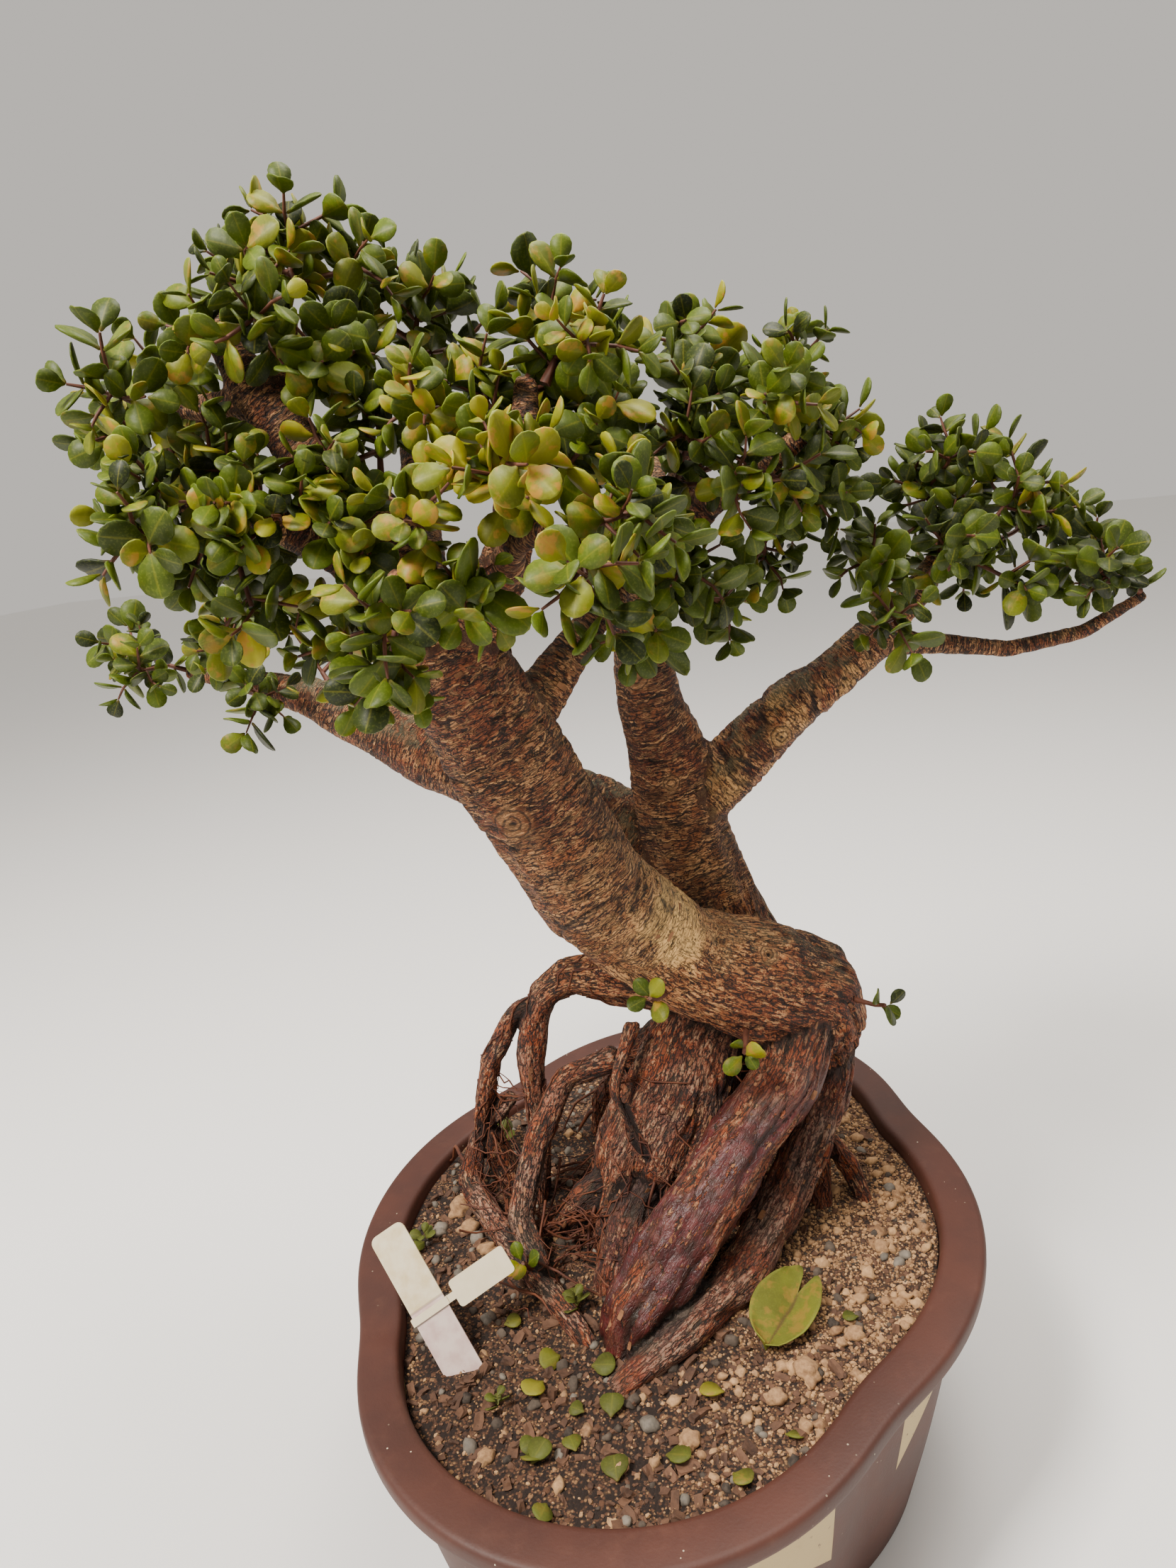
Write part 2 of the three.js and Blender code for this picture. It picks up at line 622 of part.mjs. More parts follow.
// Feet and tips of one cloud's sprays. Tips are spread over the cloud by the golden angle, and the
// one that lies furthest along the limb's own way gets the foot nearest the limb's end.
// Further tips for each spray stand round the first, for use where that one is taken.
function cloudSprays({ centre, half, limb, reach, sprays }, seed) {
  const { points } = LIMBS[limb];
  const curve = curveThrough(points);
  const ahead = curve.getTangent(1);
  const facing = (i, attempt) => {
    const even = sprays === 1 ? 0.2 : 0.85 - 1.35 * i / (sprays - 1);
    const level = THREE.MathUtils.clamp(even + 0.2 * attempt * (-1) ** attempt, -0.8, 0.95);
    const around = i * GOLDEN_ANGLE + 2 * Math.PI * chance(seed, 7) + 0.7 * attempt;
    const flat = Math.sqrt(1 - level ** 2);
    return new THREE.Vector3(flat * Math.cos(around), flat * Math.sin(around), level);
  };
  const order = Array.from({ length: sprays }, (_, i) => i);
  order.sort((a, b) => facing(a, 0).dot(ahead) - facing(b, 0).dot(ahead));
  return order.map((i, rank) => {
    const t = THREE.MathUtils.lerp(reach[0], reach[1], sprays === 1 ? 1 : rank / (sprays - 1));
    const foot = curve.getPoint(t);
    const shortest = radiusAt(points, t) + SPRAY_REACH;
    const tips = Array.from({ length: STEM_TRIES }, (_, attempt) => {
      const tip = facing(i, attempt).multiply(new THREE.Vector3(...half)).add(new THREE.Vector3(...centre));
      return foot.clone().lerp(tip, Math.max(1, shortest / tip.distanceTo(foot)));
    });
    return { foot, tips, seed: 10 * seed + rank };
  });
}

// A flat plate with rounded corners, standing on its lower edge: width along X, height along Y.
function roundedPlate(width, height, corner, thickness) {
  const shape = new THREE.Shape();
  shape.moveTo(-width / 2 + corner, 0);
  shape.lineTo(width / 2 - corner, 0).absarc(width / 2 - corner, corner, corner, -Math.PI / 2, 0);
  shape.absarc(width / 2 - corner, height - corner, corner, 0, Math.PI / 2);
  shape.absarc(-width / 2 + corner, height - corner, corner, Math.PI / 2, Math.PI);
  shape.absarc(-width / 2 + corner, corner, corner, Math.PI, 1.5 * Math.PI);
  return new THREE.ExtrudeGeometry(shape, { depth: thickness, bevelEnabled: false, curveSegments: 2 });
}

// The tag's own directions: X across the plate, Y up the plate, Z out of its face.
function tagFrame() {
  const foot = new THREE.Vector3(...TAG_FOOT);
  const up = new THREE.Vector3(...TAG_TOP).sub(foot);
  const height = up.length();
  up.normalize();
  const faces = new THREE.Vector3(...TAG_FACES);
  const face = faces.clone().addScaledVector(up, -up.dot(faces)).normalize();
  const frame = new THREE.Matrix4().makeBasis(up.clone().cross(face), up, face).setPosition(foot);
  return { frame, height };
}

function makeTag(grow = 0) {
  const { frame, height } = tagFrame();
  const full = height + TAG_BURIED + grow;
  const plate = roundedPlate(TAG_WIDTH + 2 * grow, full, 4, TAG_THICKNESS + 2 * grow);
  plate.translate(0, -TAG_BURIED - grow, -TAG_THICKNESS / 2 - grow);
  return toSolid(plate.applyMatrix4(frame));
}

// A paper label wrapped round the stake, with its long end standing out to the right as a flag.
function makeLabel() {
  const { frame, height } = tagFrame();
  const low = height * LABEL_PLACE;
  const wrap = TAG_WIDTH + 2 * GAP + 2 * LABEL_THICKNESS;
  const band = new THREE.BoxGeometry(wrap, LABEL_NECK, TAG_THICKNESS + 2 * GAP + 2 * LABEL_THICKNESS);
  band.translate(0, low, 0);
  const flag = roundedPlate(LABEL_FLAG_WIDTH, LABEL_HEIGHT, 2, LABEL_THICKNESS);
  flag.translate(wrap / 2 + LABEL_NECK_LENGTH + LABEL_FLAG_WIDTH / 2, low - LABEL_HEIGHT / 2, 0);
  const neck = new THREE.BoxGeometry(LABEL_NECK_LENGTH + 6, LABEL_NECK, LABEL_THICKNESS);
  neck.translate(wrap / 2 + LABEL_NECK_LENGTH / 2, low, LABEL_THICKNESS / 2);
  const label = toSolid(band.applyMatrix4(frame)).add(toSolid(neck.applyMatrix4(frame)));
  return label.add(toSolid(flag.applyMatrix4(frame))).subtract(makeTag(GAP));
}

const wood = makeWood();
const woodClear = makeWood(GAP);
const bonsai = new THREE.Group();
bonsai.add(toMesh('pot', makePot(), STONEWARE));
bonsai.add(toMesh('soil', makeSoil([woodClear, makeTag(GAP)]), SOIL));
bonsai.add(toMesh('trunk_and_roots', wood, BARK));
bonsai.add(toMesh('plant_tag', makeTag(), TAG_PLASTIC));
bonsai.add(toMesh('tag_label', makeLabel(), LABEL_PAPER));

// Foliage. A spray that finds no free place isn't grown.
const grown = [];
function addShoot(name, shoot) {
  const spray = growSpray(shoot, woodClear, grown);
  if (spray === null) return false;
  grown.push(spray);
  bonsai.add(toMesh(name, spray, LEAF));
  return true;
}

CLOUDS.forEach((cloud, c) => {
  let number = 1;
  for (const start of cloudSprays(cloud, c)) {
    const shoot = { ...start, pairs: MAIN_PAIRS, sideStems: cloud.sideStems, leafLength: LEAF_LENGTH };
    if (addShoot(`spray_${cloud.name}_${number}`, shoot)) number += 1;
  }
});
SPROUTS.forEach(({ name, foot, way, length }, seed) => {
  const start = new THREE.Vector3(...foot);
  const tips = [start.clone().addScaledVector(new THREE.Vector3(...way).normalize(), length)];
  const shoot = { foot: start, tips, pairs: SPROUT_PAIRS, sideStems: 0, seed };
  addShoot(name, { ...shoot, leafLength: SPROUT_LEAF_LENGTH });
});

export default bonsai;
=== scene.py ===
"""Looks of a dwarf jade bonsai in its lobed stoneware pot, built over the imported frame. Metres, +Z up."""

import math
import random

import bmesh
import bpy
import numpy as np
from bpy.props import FloatProperty, FloatVectorProperty, IntProperty, PointerProperty
from mathutils import Matrix, Vector, noise
from mathutils.bvhtree import BVHTree


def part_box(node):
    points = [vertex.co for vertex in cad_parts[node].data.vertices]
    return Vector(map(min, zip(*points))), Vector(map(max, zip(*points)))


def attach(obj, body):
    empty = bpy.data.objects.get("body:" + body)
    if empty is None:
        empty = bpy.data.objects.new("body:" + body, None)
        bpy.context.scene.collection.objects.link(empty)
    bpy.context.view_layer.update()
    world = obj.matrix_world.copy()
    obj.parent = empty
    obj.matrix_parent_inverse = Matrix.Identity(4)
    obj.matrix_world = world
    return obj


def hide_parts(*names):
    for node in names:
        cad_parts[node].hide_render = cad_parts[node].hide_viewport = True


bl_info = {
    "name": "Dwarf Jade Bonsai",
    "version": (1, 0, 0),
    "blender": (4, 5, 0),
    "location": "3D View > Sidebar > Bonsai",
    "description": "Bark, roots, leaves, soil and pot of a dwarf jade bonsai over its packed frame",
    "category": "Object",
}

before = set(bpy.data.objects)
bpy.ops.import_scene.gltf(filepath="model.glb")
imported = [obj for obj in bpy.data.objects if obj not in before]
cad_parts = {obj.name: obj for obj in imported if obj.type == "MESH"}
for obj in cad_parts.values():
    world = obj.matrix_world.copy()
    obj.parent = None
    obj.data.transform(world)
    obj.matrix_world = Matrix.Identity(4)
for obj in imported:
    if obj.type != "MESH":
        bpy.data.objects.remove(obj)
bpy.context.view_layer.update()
MM = 0.001

# The pot's outline, as its solid has it: one central disc that bulges to both sides, a disc at each end.
END_LOBE_OFFSET = 88 * MM
END_LOBE_RADIUS = 142 * MM
SIDE_LOBE_RADIUS = 185 * MM
NOTCH_SHARPNESS = 36
NOTCH_ANGLE = math.radians(42)
NOTCH_CLEAR = math.radians(10)
POT_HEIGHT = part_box("pot")[1].z
LIP_BOTTOM = POT_HEIGHT - 11 * MM
DRAIN_HOLE_RADIUS = 9 * MM
DRAIN_HOLE_OFFSET = 75 * MM
SOIL_LEVEL = 149 * MM
SOIL_EDGE_INSET = 25.5 * MM
# The cream panels: how far under the lip their arched foot is at its highest, and how far it comes down.
PANEL_CROWN = 18 * MM
PANEL_ARCH = 48 * MM
FINE_GRAIN = 1.4 * MM
COARSE_GRAIN = 3.4 * MM

SPRAYS = sorted(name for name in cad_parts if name.startswith("spray_"))
SPROUTS = sorted(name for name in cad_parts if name.startswith("sprout_"))

# The middle line of each limb and root, as the solid has it: x, y, z and radius in millimetres.
LIMBS = {
    "main_trunk": [
        (96, 50, 262, 27), (90, 42, 286, 33), (64, 24, 304, 35), (28, 0, 328, 31), (-10, -30, 380, 32),
        (-35, -55, 460, 30), (-50, -65, 505, 27), (-62, -70, 545, 21),
    ],
    "low_trunk": [
        (60, 55, 275, 32), (30, 70, 320, 35), (0, 75, 357, 32), (-40, 75, 385, 29), (-85, 70, 408, 26),
        (-140, 65, 432, 22), (-180, 65, 453, 18), (-220, 65, 475, 13), (-262, 60, 488, 9),
        (-305, 58, 498, 6),
    ],
    "second_stem": [
        (32, 65, 320, 33), (20, 65, 375, 28), (15, 60, 430, 24), (10, 50, 465, 20), (10, 45, 510, 16),
        (25, 50, 545, 14), (40, 55, 580, 11), (50, 62, 612, 7),
    ],
    "right_branch": [
        (22, 62, 395, 20), (55, 75, 422, 19), (85, 85, 450, 17), (110, 95, 465, 15), (135, 105, 486, 12),
        (160, 115, 510, 9), (178, 120, 538, 6),
    ],
    "right_twig": [
        (132, 103, 480, 9), (170, 115, 475, 7), (205, 124, 468, 5.5), (245, 130, 474, 5),
        (278, 138, 492, 4),
    ],
    "top_left_bough": [
        (-60, -68, 535, 20), (-80, -70, 580, 17), (-110, -70, 615, 14), (-130, -74, 650, 11),
        (-146, -70, 682, 7),
    ],
    "peak_bough": [(-122, -72, 628, 10), (-118, -64, 652, 8), (-108, -62, 680, 5)],
    "left_arm": [(-128, -72, 640, 9), (-158, -74, 642, 7), (-182, -74, 646, 5)],
    "left_low_bough": [
        (-60, -70, 535, 15), (-85, -98, 572, 11), (-112, -118, 594, 8), (-150, -126, 602, 5),
    ],
    "middle_bough": [(-52, -66, 515, 20), (-20, -64, 555, 13), (-8, -56, 598, 10), (-4, -48, 636, 6)],
    "front_bough": [(-18, -70, 552, 10), (-2, -96, 566, 7), (18, -112, 572, 5)],
    "front_left_bough": [(-56, -72, 522, 16), (-50, -100, 546, 8), (-46, -122, 560, 5)],
    "fork_branch": [
        (-32, -46, 474, 17), (-10, -25, 505, 11), (12, -8, 532, 9), (38, 10, 562, 8), (62, 18, 600, 5),
    ],
    "back_bough": [(-62, -68, 538, 14), (-72, -34, 592, 10), (-84, -6, 646, 6)],
    "dark_branch": [(24, 50, 543, 12), (55, 50, 570, 9), (90, 54, 588, 7), (118, 60, 608, 5)],
    "far_branch": [(24, 50, 543, 11), (20, 84, 575, 8), (8, 108, 602, 5)],
}
ROOTS = {
    "bulb": [(45, 45, 300, 27), (28, 32, 268, 30), (15, 15, 232, 35), (0, 2, 200, 38), (-12, -5, 150, 42)],
    "heart": [(60, 45, 285, 27), (50, 38, 230, 21), (35, 20, 180, 25), (25, 10, 140, 28)],
    "maroon_root": [
        (90, 32, 285, 23), (78, 4, 250, 20), (54, -30, 224, 20), (31, -61, 195, 21), (9, -87, 164, 20),
        (0, -100, 135, 16),
    ],
    "long_right_root": [
        (106, 56, 272, 15), (97, 40, 222, 15), (78, -2, 182, 15), (56, -52, 162, 14), (32, -95, 158, 12),
        (4, -128, 148, 9),
    ],
    "left_arch_root": [
        (25, 30, 300, 22), (-22, 25, 302, 17), (-50, 20, 304, 13), (-72, 20, 284, 10), (-80, 14, 244, 9),
        (-78, 8, 196, 8), (-84, 0, 140, 7),
    ],
    "thin_arch_root": [
        (-58, 22, 296, 8), (-88, 20, 276, 7.5), (-110, 20, 242, 7.5), (-121, 20, 200, 8.5),
        (-112, 20, 166, 9), (-100, 8, 138, 7),
    ],
    "left_long_root": [
        (-100, 24, 215, 6), (-124, 18, 188, 8), (-128, 0, 164, 8.5), (-104, -24, 158, 9),
        (-62, -64, 158, 8.5), (-26, -94, 156, 7), (-4, -108, 142, 6),
    ],
    "left_middle_root": [
        (-20, 12, 255, 10), (-56, 8, 240, 8), (-72, -14, 205, 8.5), (-76, -40, 174, 9),
        (-56, -64, 158, 8), (-34, -78, 140, 6),
    ],
    "low_left_root": [(-10, -2, 195, 18), (-40, -20, 176, 14), (-62, -22, 150, 11), (-76, -22, 128, 8)],
    "front_knee_root": [(5, -8, 205, 20), (-8, -36, 180, 16), (-14, -60, 158, 12), (-16, -74, 130, 9)],
    "crossing_root": [(-6, 2, 285, 6), (-14, -20, 252, 5), (2, -26, 218, 4.5), (24, -24, 194, 4.5)],
    "back_root": [(60, 62, 275, 22), (50, 92, 225, 17), (40, 112, 180, 14), (34, 122, 130, 11)],
    "back_left_root": [(10, 50, 262, 14), (-30, 66, 222, 11), (-56, 76, 180, 10), (-70, 82, 132, 8)],
    "right_back_root": [(98, 55, 262, 11), (92, 54, 215, 8.5), (90, 40, 176, 8.5), (92, 22, 140, 7)],
    "right_side_root": [(92, 48, 190, 7), (108, 46, 168, 7.5), (122, 34, 140, 6)],
}

# Knots on the old wood, where the photograph shows them: place and radius in millimetres, and how hollow.
KNOTS = [
    ((-29, -77, 435), 9, 0.5), ((21, 38, 419), 5, 0.2), ((9, 31, 483), 8, 0.3), ((81, 67, 436), 7, 0.1),
    ((75, 2, 330), 5.5, 1.0), ((-62, -92, 520), 7, 0.4), ((-110, 58, 428), 6, 0.5),
]
# A painted pool of sunlight on the bend of the trunk: its middle, and how far it reaches.
PAINTED_SUN_PLACE = Vector((35, -19, 368)) * MM
PAINTED_SUN_REACH = 22 * MM
# The part of the crown whose leaves are ripest in colour.
RIPE_PLACE = Vector((8, -118, 588)) * MM
RIPE_REACH = 60 * MM
# Shares of grey-green bloom, dry ashen skin and smooth maroon skin on the limbs and roots that have them.
BLOOM = {"right_branch": 0.8, "low_trunk": 0.8, "second_stem": 0.5}
ASHEN = {
    "long_right_root": 0.7, "left_long_root": 0.6, "left_middle_root": 0.45, "bulb": 0.3,
    "left_arch_root": 0.4,
}
MAROON = {"maroon_root": 0.95, "long_right_root": 0.35, "bulb": 0.15, "heart": 0.5, "front_knee_root": 0.4}
RING_SPACING = 13 * MM
FLAKES = 1100
# Hair roots: along the roots, slung between them, down to the soil, and in a tangle on it.
CLINGING_HAIRS = 230
SLUNG_HAIRS = 190
ROOTLETS = 26
TANGLED_HAIRS = 150
# The slung hairs and the rootlets start below this height, and the rootlets above the other one.
HAIRS_BELOW = 235 * MM
ROOTLETS_ABOVE = 170 * MM
TANGLE = Vector((-36, -24, 0)) * MM

# What lies on the soil, seen from above: x and y in millimetres. A seedling also has its leaves' length.
FALLEN_LEAVES = [
    (-28, -114), (-10, -118), (-5, -145), (9, -146), (-23, -163), (-28, -174), (-21, -177), (-3, -165),
    (39, -159), (21, -177), (-8, -193), (91, -136), (71, -162), (-11, -92), (-66, -100), (120, -60),
]
YELLOW_LEAVES = [(-31, -132), (60, -120)]
SEEDLINGS = [(-27, -85, 11), (-125, 50, 16), (-140, -45, 10), (-49, -150, 8)]
# Boughs with short shoots on their open side: their spray, the bough, where they start, and how many.
COVERED_BOUGHS = {
    "spray_low_left_1": ("left_low_bough", 0.2, 24),
    "spray_right_side_1": ("dark_branch", 0.7, 6),
}
BIG_STONES = [
    ((166, 34), 9), ((98, -100), 7), ((-97, -46), 6), ((-131, -13), 8), ((-118, -30), 6), ((128, -4), 5),
    ((48, -150), 5.5), ((20, -168), 4.5), ((84, -118), 5), ((-46, -176), 4.5), ((118, -70), 5),
]
TAG_FOOT = Vector((-76, -131, 150)) * MM
TAG_TOP = Vector((-124, -107, 213)) * MM
DRY_LEAF_FOOT = Vector((76, -92, 0)) * MM
DRY_LEAF_NOTCH = Vector((91, -47, 0)) * MM
# Where the sticker starts on the stake, as a share of its length.
STICKER_EDGE = 0.47

# The camera's place, and the way it looks: turned to the left, dipped and rolled.
CAMERA_PLACE = Vector((169.7, -524.7, 590)) * MM
CAMERA_TURNS = [math.radians(angle) for angle in (19.4, 16.0, 6.9)]


def linear(hex_colour):
    """An sRGB hex colour as linear RGBA."""
    parts = [int(hex_colour[i:i + 2], 16) / 255 for i in (1, 3, 5)]
    return [c / 12.92 if c <= 0.04045 else ((c + 0.055) / 1.055) ** 2.4 for c in parts] + [1.0]


def colour(name, description, hex_colour):
    return FloatVectorProperty(
        name=name, description=description, subtype="COLOR", size=4, min=0, max=1, default=linear(hex_colour)
    )


def length(name, description, millimetres):
    kind = {"subtype": "DISTANCE", "unit": "LENGTH", "min": 0}
    return FloatProperty(name=name, description=description, default=millimetres * MM, **kind)


def smoothstep(low, high, value):
    t = min(1.0, max(0.0, (value - low) / (high - low)))
    return t * t * (3 - 2 * t)


class PotSettings(bpy.types.PropertyGroup):
    clay: colour("Clay", "Fired red-brown stoneware", "#4b261a")
    clay_dark: colour("Dark clay", "Clay where the kiln darkened it", "#3f2017")
    panel: colour("Panel", "Cream slip on the lobes", "#b8a070")
    speck: colour("Specks", "Pale dust on the lip", "#d2c3a8")


class WoodSettings(bpy.types.PropertyGroup):
    cell: length("Cell", "Size of a cell of the bark's mesh", 1.6)
    bark: colour("Bark", "Brown bark of the trunk", "#7a4427")
    bark_dark: colour("Dark bark", "Older bark in patches", "#432313")
    fleck: colour("Flecks", "Tan scales that have lifted", "#dca46d")
    russet: colour("Russet bark", "Redder bark in patches", "#823b22")
    # Painted sunlight: the yellow-tan of the lit patch on the bend, also used for the tan patches on the
    # right branch.
    sunny: colour("Sunny bark", "Yellow-tan skin where the bark is rubbed thin", "#ffd083")
    crevice: colour("Crevices", "Shade in cracks and grooves", "#180b06")
    root: colour("Roots", "Orange-brown skin of the raised roots", "#86390f")
    root_dark: colour("Dark roots", "Older root skin", "#3c1207")
    maroon: colour("Maroon root", "Smooth skin of the stoutest root", "#33080d")
    flake: colour("Flakes", "Papery scales on the roots", "#b58d68")
    ashen: colour("Ashen roots", "Dry grey-tan skin", "#a08672")
    lichen: colour("Lichen", "Grey-green bloom on upper sides", "#787a5c")


class LeafSettings(bpy.types.PropertyGroup):
    twig: colour("Twig", "Red-brown young wood", "#4a2413")
    # The dark and yellow leaf colours also stand for painted shade and painted sunlight on the crown.
    dark: colour("Dark leaf", "Shaded old leaf", "#1d2608")
    green: colour("Green leaf", "Leaf in full growth", "#4a5a0a")
    yellow: colour("Yellow leaf", "Leaf in strong sun", "#908a17")
    blotch: colour("Blotch", "Tan marks of sun and age", "#a8762a")
    rim: colour("Rim", "Paler edge and specks of a leaf", "#9aa042")


class SoilSettings(bpy.types.PropertyGroup):
    grains: IntProperty(name="Grains", description="Number of fine grains", min=0, default=7600)
    stones: IntProperty(name="Stones", description="Number of larger stones", min=0, default=560)
    chips: IntProperty(name="Chips", description="Number of bark chips", min=0, default=1000)
    # Peat: the darkest grains, and also the painted shade in the gaps between the grains.
    peat: colour("Peat", "Dark peat between the grains", "#1e120b")
    crumb: colour("Crumbs", "Brown crumbs of bark and peat", "#543724")
    pumice: colour("Pumice", "Tan pumice", "#83603f")
    pumice_light: colour("Light pumice", "Palest grains", "#bf976a")
    grit: colour("Grit", "Grey grit", "#48433c")
    chip: colour("Bark chips", "Brown bark chips", "#2f1d14")


class TagSettings(bpy.types.PropertyGroup):
    plastic: colour("Plastic", "Pale pinkish plastic", "#dcc8bd")
    paper: colour("Paper", "Cream paper", "#e6d9b8")


class StageSettings(bpy.types.PropertyGroup):
    floor: colour("Floor", "Pale matt floor", "#efeeec")
    lens: FloatProperty(name="Lens", description="Focal length in millimetres", min=1, default=24.41)


class Value:
    """A number, place or colour that a material works out. Arithmetic with it adds the nodes that do it."""

    def __init__(self, tree, socket):
        self.tree = tree
        self.socket = socket

    def __add__(self, other):
        return work_out("ADD", self, other)

    def __sub__(self, other):
        return work_out("SUBTRACT", self, other)

    def __rsub__(self, other):
        return work_out("SUBTRACT", other, self)

    def __mul__(self, other):
        return work_out("MULTIPLY", self, other)

    def __truediv__(self, other):
        return work_out("DIVIDE", self, other)

    def __lt__(self, other):
        return work_out("LESS_THAN", self, other)

    def __gt__(self, other):
        return work_out("GREATER_THAN", self, other)

    def __abs__(self):
        return work_out("ABSOLUTE", self)

    def band(self, low, high):
        """0 below low and 1 above high, with a soft step between. Turned round where low is the greater."""
        limits = {"Value": self, "From Min": min(low, high), "From Max": max(low, high)}
        if low > high:
            limits.update({"To Min": 1.0, "To Max": 0.0})
        node = add_node(self.tree, "MapRange", limits, interpolation_type="SMOOTHSTEP")
        return Value(self.tree, node.outputs[0])


def set_inputs(tree, node, inputs):
    """Links each input whose value is worked out, and sets the others."""
    for key, value in inputs.items():
        if isinstance(value, Value):
            tree.links.new(value.socket, node.inputs[key])
        else:
            node.inputs[key].default_value = value


def add_node(tree, kind, inputs=None, **settings):
    node = tree.nodes.new("ShaderNode" + kind)
    for name, value in settings.items():
        setattr(node, name, value)
    set_inputs(tree, node, inputs or {})
    return node


def tree_of(*values):
    return next(value.tree for value in values if isinstance(value, Value))


def work_out(operation, *values):
    """One number worked out from others."""
    tree = tree_of(*values)
    return Value(tree, add_node(tree, "Math", dict(enumerate(values)), operation=operation).outputs[0])


def blend(share, first, second):
    """The first colour, with the given share of the second one."""
    tree = tree_of(share, first, second)
    node = add_node(tree, "Mix", {0: share, 6: first, 7: second}, data_type="RGBA")
    return Value(tree, node.outputs[2])


class Look:
    """A material in the making: its node tree, its shader and the places on the object."""

    def __init__(self, name):
        self.material = bpy.data.materials.new(name)
        self.material.use_nodes = True
        self.tree = self.material.node_tree
        self.tree.nodes.clear()
        self.shader = add_node(self.tree, "BsdfPrincipled")
        output = add_node(self.tree, "OutputMaterial")
        self.tree.links.new(self.shader.outputs[0], output.inputs["Surface"])
        self.place = self.value("TexCoord", output="Object")

    def value(self, kind, inputs=None, output=0, **settings):
        return Value(self.tree, add_node(self.tree, kind, inputs, **settings).outputs[output])

    def attribute(self, name, output="Fac"):
        return self.value("Attribute", output=output, attribute_name=name)

    def split(self, value, kind="XYZ"):
        node = add_node(self.tree, "Separate" + kind, {0: value})
        return [Value(self.tree, node.outputs[i]) for i in range(3)]

    def scaled(self, place, size):
        return self.value("VectorMath", {0: place, 1: [1 / part for part in size]}, operation="MULTIPLY")

    def noise(self, size, detail=3.0, roughness=0.55, place=None):
        """Cloudy noise whose lumps have one size in metres, or a size across, beside and along a limb."""
        place = place or self.place
        if isinstance(size, tuple):
            place, size = self.scaled(place, size), 1.0
        inputs = {"Vector": place, "Scale": 1 / size, "Detail": detail, "Roughness": roughness}
        return self.value("TexNoise", inputs)

    def cracks(self, place, size):
        """How far each place of a straightened limb lies from the cracks between scales of one size."""
        place = self.scaled(place, size)
        sway = self.value("TexNoise", {"Vector": place, "Scale": 0.55, "Detail": 2.0}, "Color")
        swayed = {0: sway, 1: (1.6, 1.6, 1.6), 2: place}
        place = self.value("VectorMath", swayed, operation="MULTIPLY_ADD")
        return self.value("TexVoronoi", {"Vector": place, "Scale": 1.0}, feature="DISTANCE_TO_EDGE")

    def grains(self, size):
        """How far each place lies from the middle of its grain, and the grain's three random numbers."""
        cells = {"Vector": self.place, "Scale": 1 / size, "Randomness": 1.0}
        node = add_node(self.tree, "TexVoronoi", cells)
        picks = self.split(Value(self.tree, node.outputs["Color"]), "Color")
        return Value(self.tree, node.outputs["Distance"]), picks

    def ramp(self, value, stops, interpolation="LINEAR"):
        """The colour of a value on a ramp of (position, colour)."""
        node = add_node(self.tree, "ValToRGB", {0: value})
        node.color_ramp.interpolation = interpolation
        while len(node.color_ramp.elements) < len(stops):
            node.color_ramp.elements.new(0.5)
        for stop, (position, shade) in zip(node.color_ramp.elements, stops):
            stop.position = position
            stop.color = shade
        return Value(self.tree, node.outputs[0])

    def finish(self, body, roughness, height=None, depth=1.0, strength=1.0, **more):
        """Gives the shader its colour, roughness, relief and other inputs. Returns the finished material."""
        inputs = {"Base Color": body, "Roughness": roughness}
        inputs.update({name.replace("_", " "): value for name, value in more.items()})
        if height:
            bump = {"Height": height, "Strength": strength, "Distance": depth}
            inputs["Normal"] = self.value("Bump", bump)
        set_inputs(self.tree, self.shader, inputs)
        return self.material


def cream_panels(place):
    """Share of cream slip: a panel with an arched foot under the lip of each lobe, clear of the notches."""
    x, y, z = place
    turn = work_out("ARCTAN2", abs(y), abs(x))
    side_edge, end_edge = NOTCH_ANGLE - NOTCH_CLEAR, NOTCH_ANGLE + NOTCH_CLEAR
    on_side, on_end = turn < side_edge, turn > end_edge
    share = on_side * (turn / side_edge) + on_end * ((math.pi / 2 - turn) / (math.pi / 2 - end_edge))
    foot = work_out("POWER", share, 2.2) * (-PANEL_ARCH) + (LIP_BOTTOM - PANEL_CROWN)
    outside = work_out("SQRT", x * x + y * y) > SIDE_LOBE_RADIUS - 24 * MM
    return (on_side + on_end) * (z > foot) * (z < LIP_BOTTOM - 0.5 * MM) * outside


def stoneware(settings):
    """Unglazed stoneware: matt red-brown clay with a soft sheen, kiln clouding, fine pits and pale dust."""
    look = Look("fired_stoneware")
    place = look.split(look.place)
    cloud = look.noise(45 * MM, 4)
    clay = blend(cloud.band(0.35, 0.7), settings.clay_dark, settings.clay)
    slip = blend(look.noise(6 * MM, 5, 0.7).band(0.62, 0.68), settings.panel, settings.clay_dark)
    body = blend(cream_panels(place), clay, slip)
    gap, (pick, _, _) = look.grains(5.5 * MM)
    speck = (gap < look.noise(30 * MM, 2) * 0.16) * (pick > 0.62)
    dusting = place[2].band(60 * MM, POT_HEIGHT) * look.noise(70 * MM, 2).band(0.48, 0.62)
    body = blend(speck * dusting, body, settings.speck)
    body = blend(look.noise(14 * MM, 6, 0.7).band(0.5, 0.8) * 0.13, body, linear("#7d5340"))
    return look.finish(body, cloud * 0.18 + 0.5, look.noise(1.6 * MM), 0.5 * MM, 0.25)


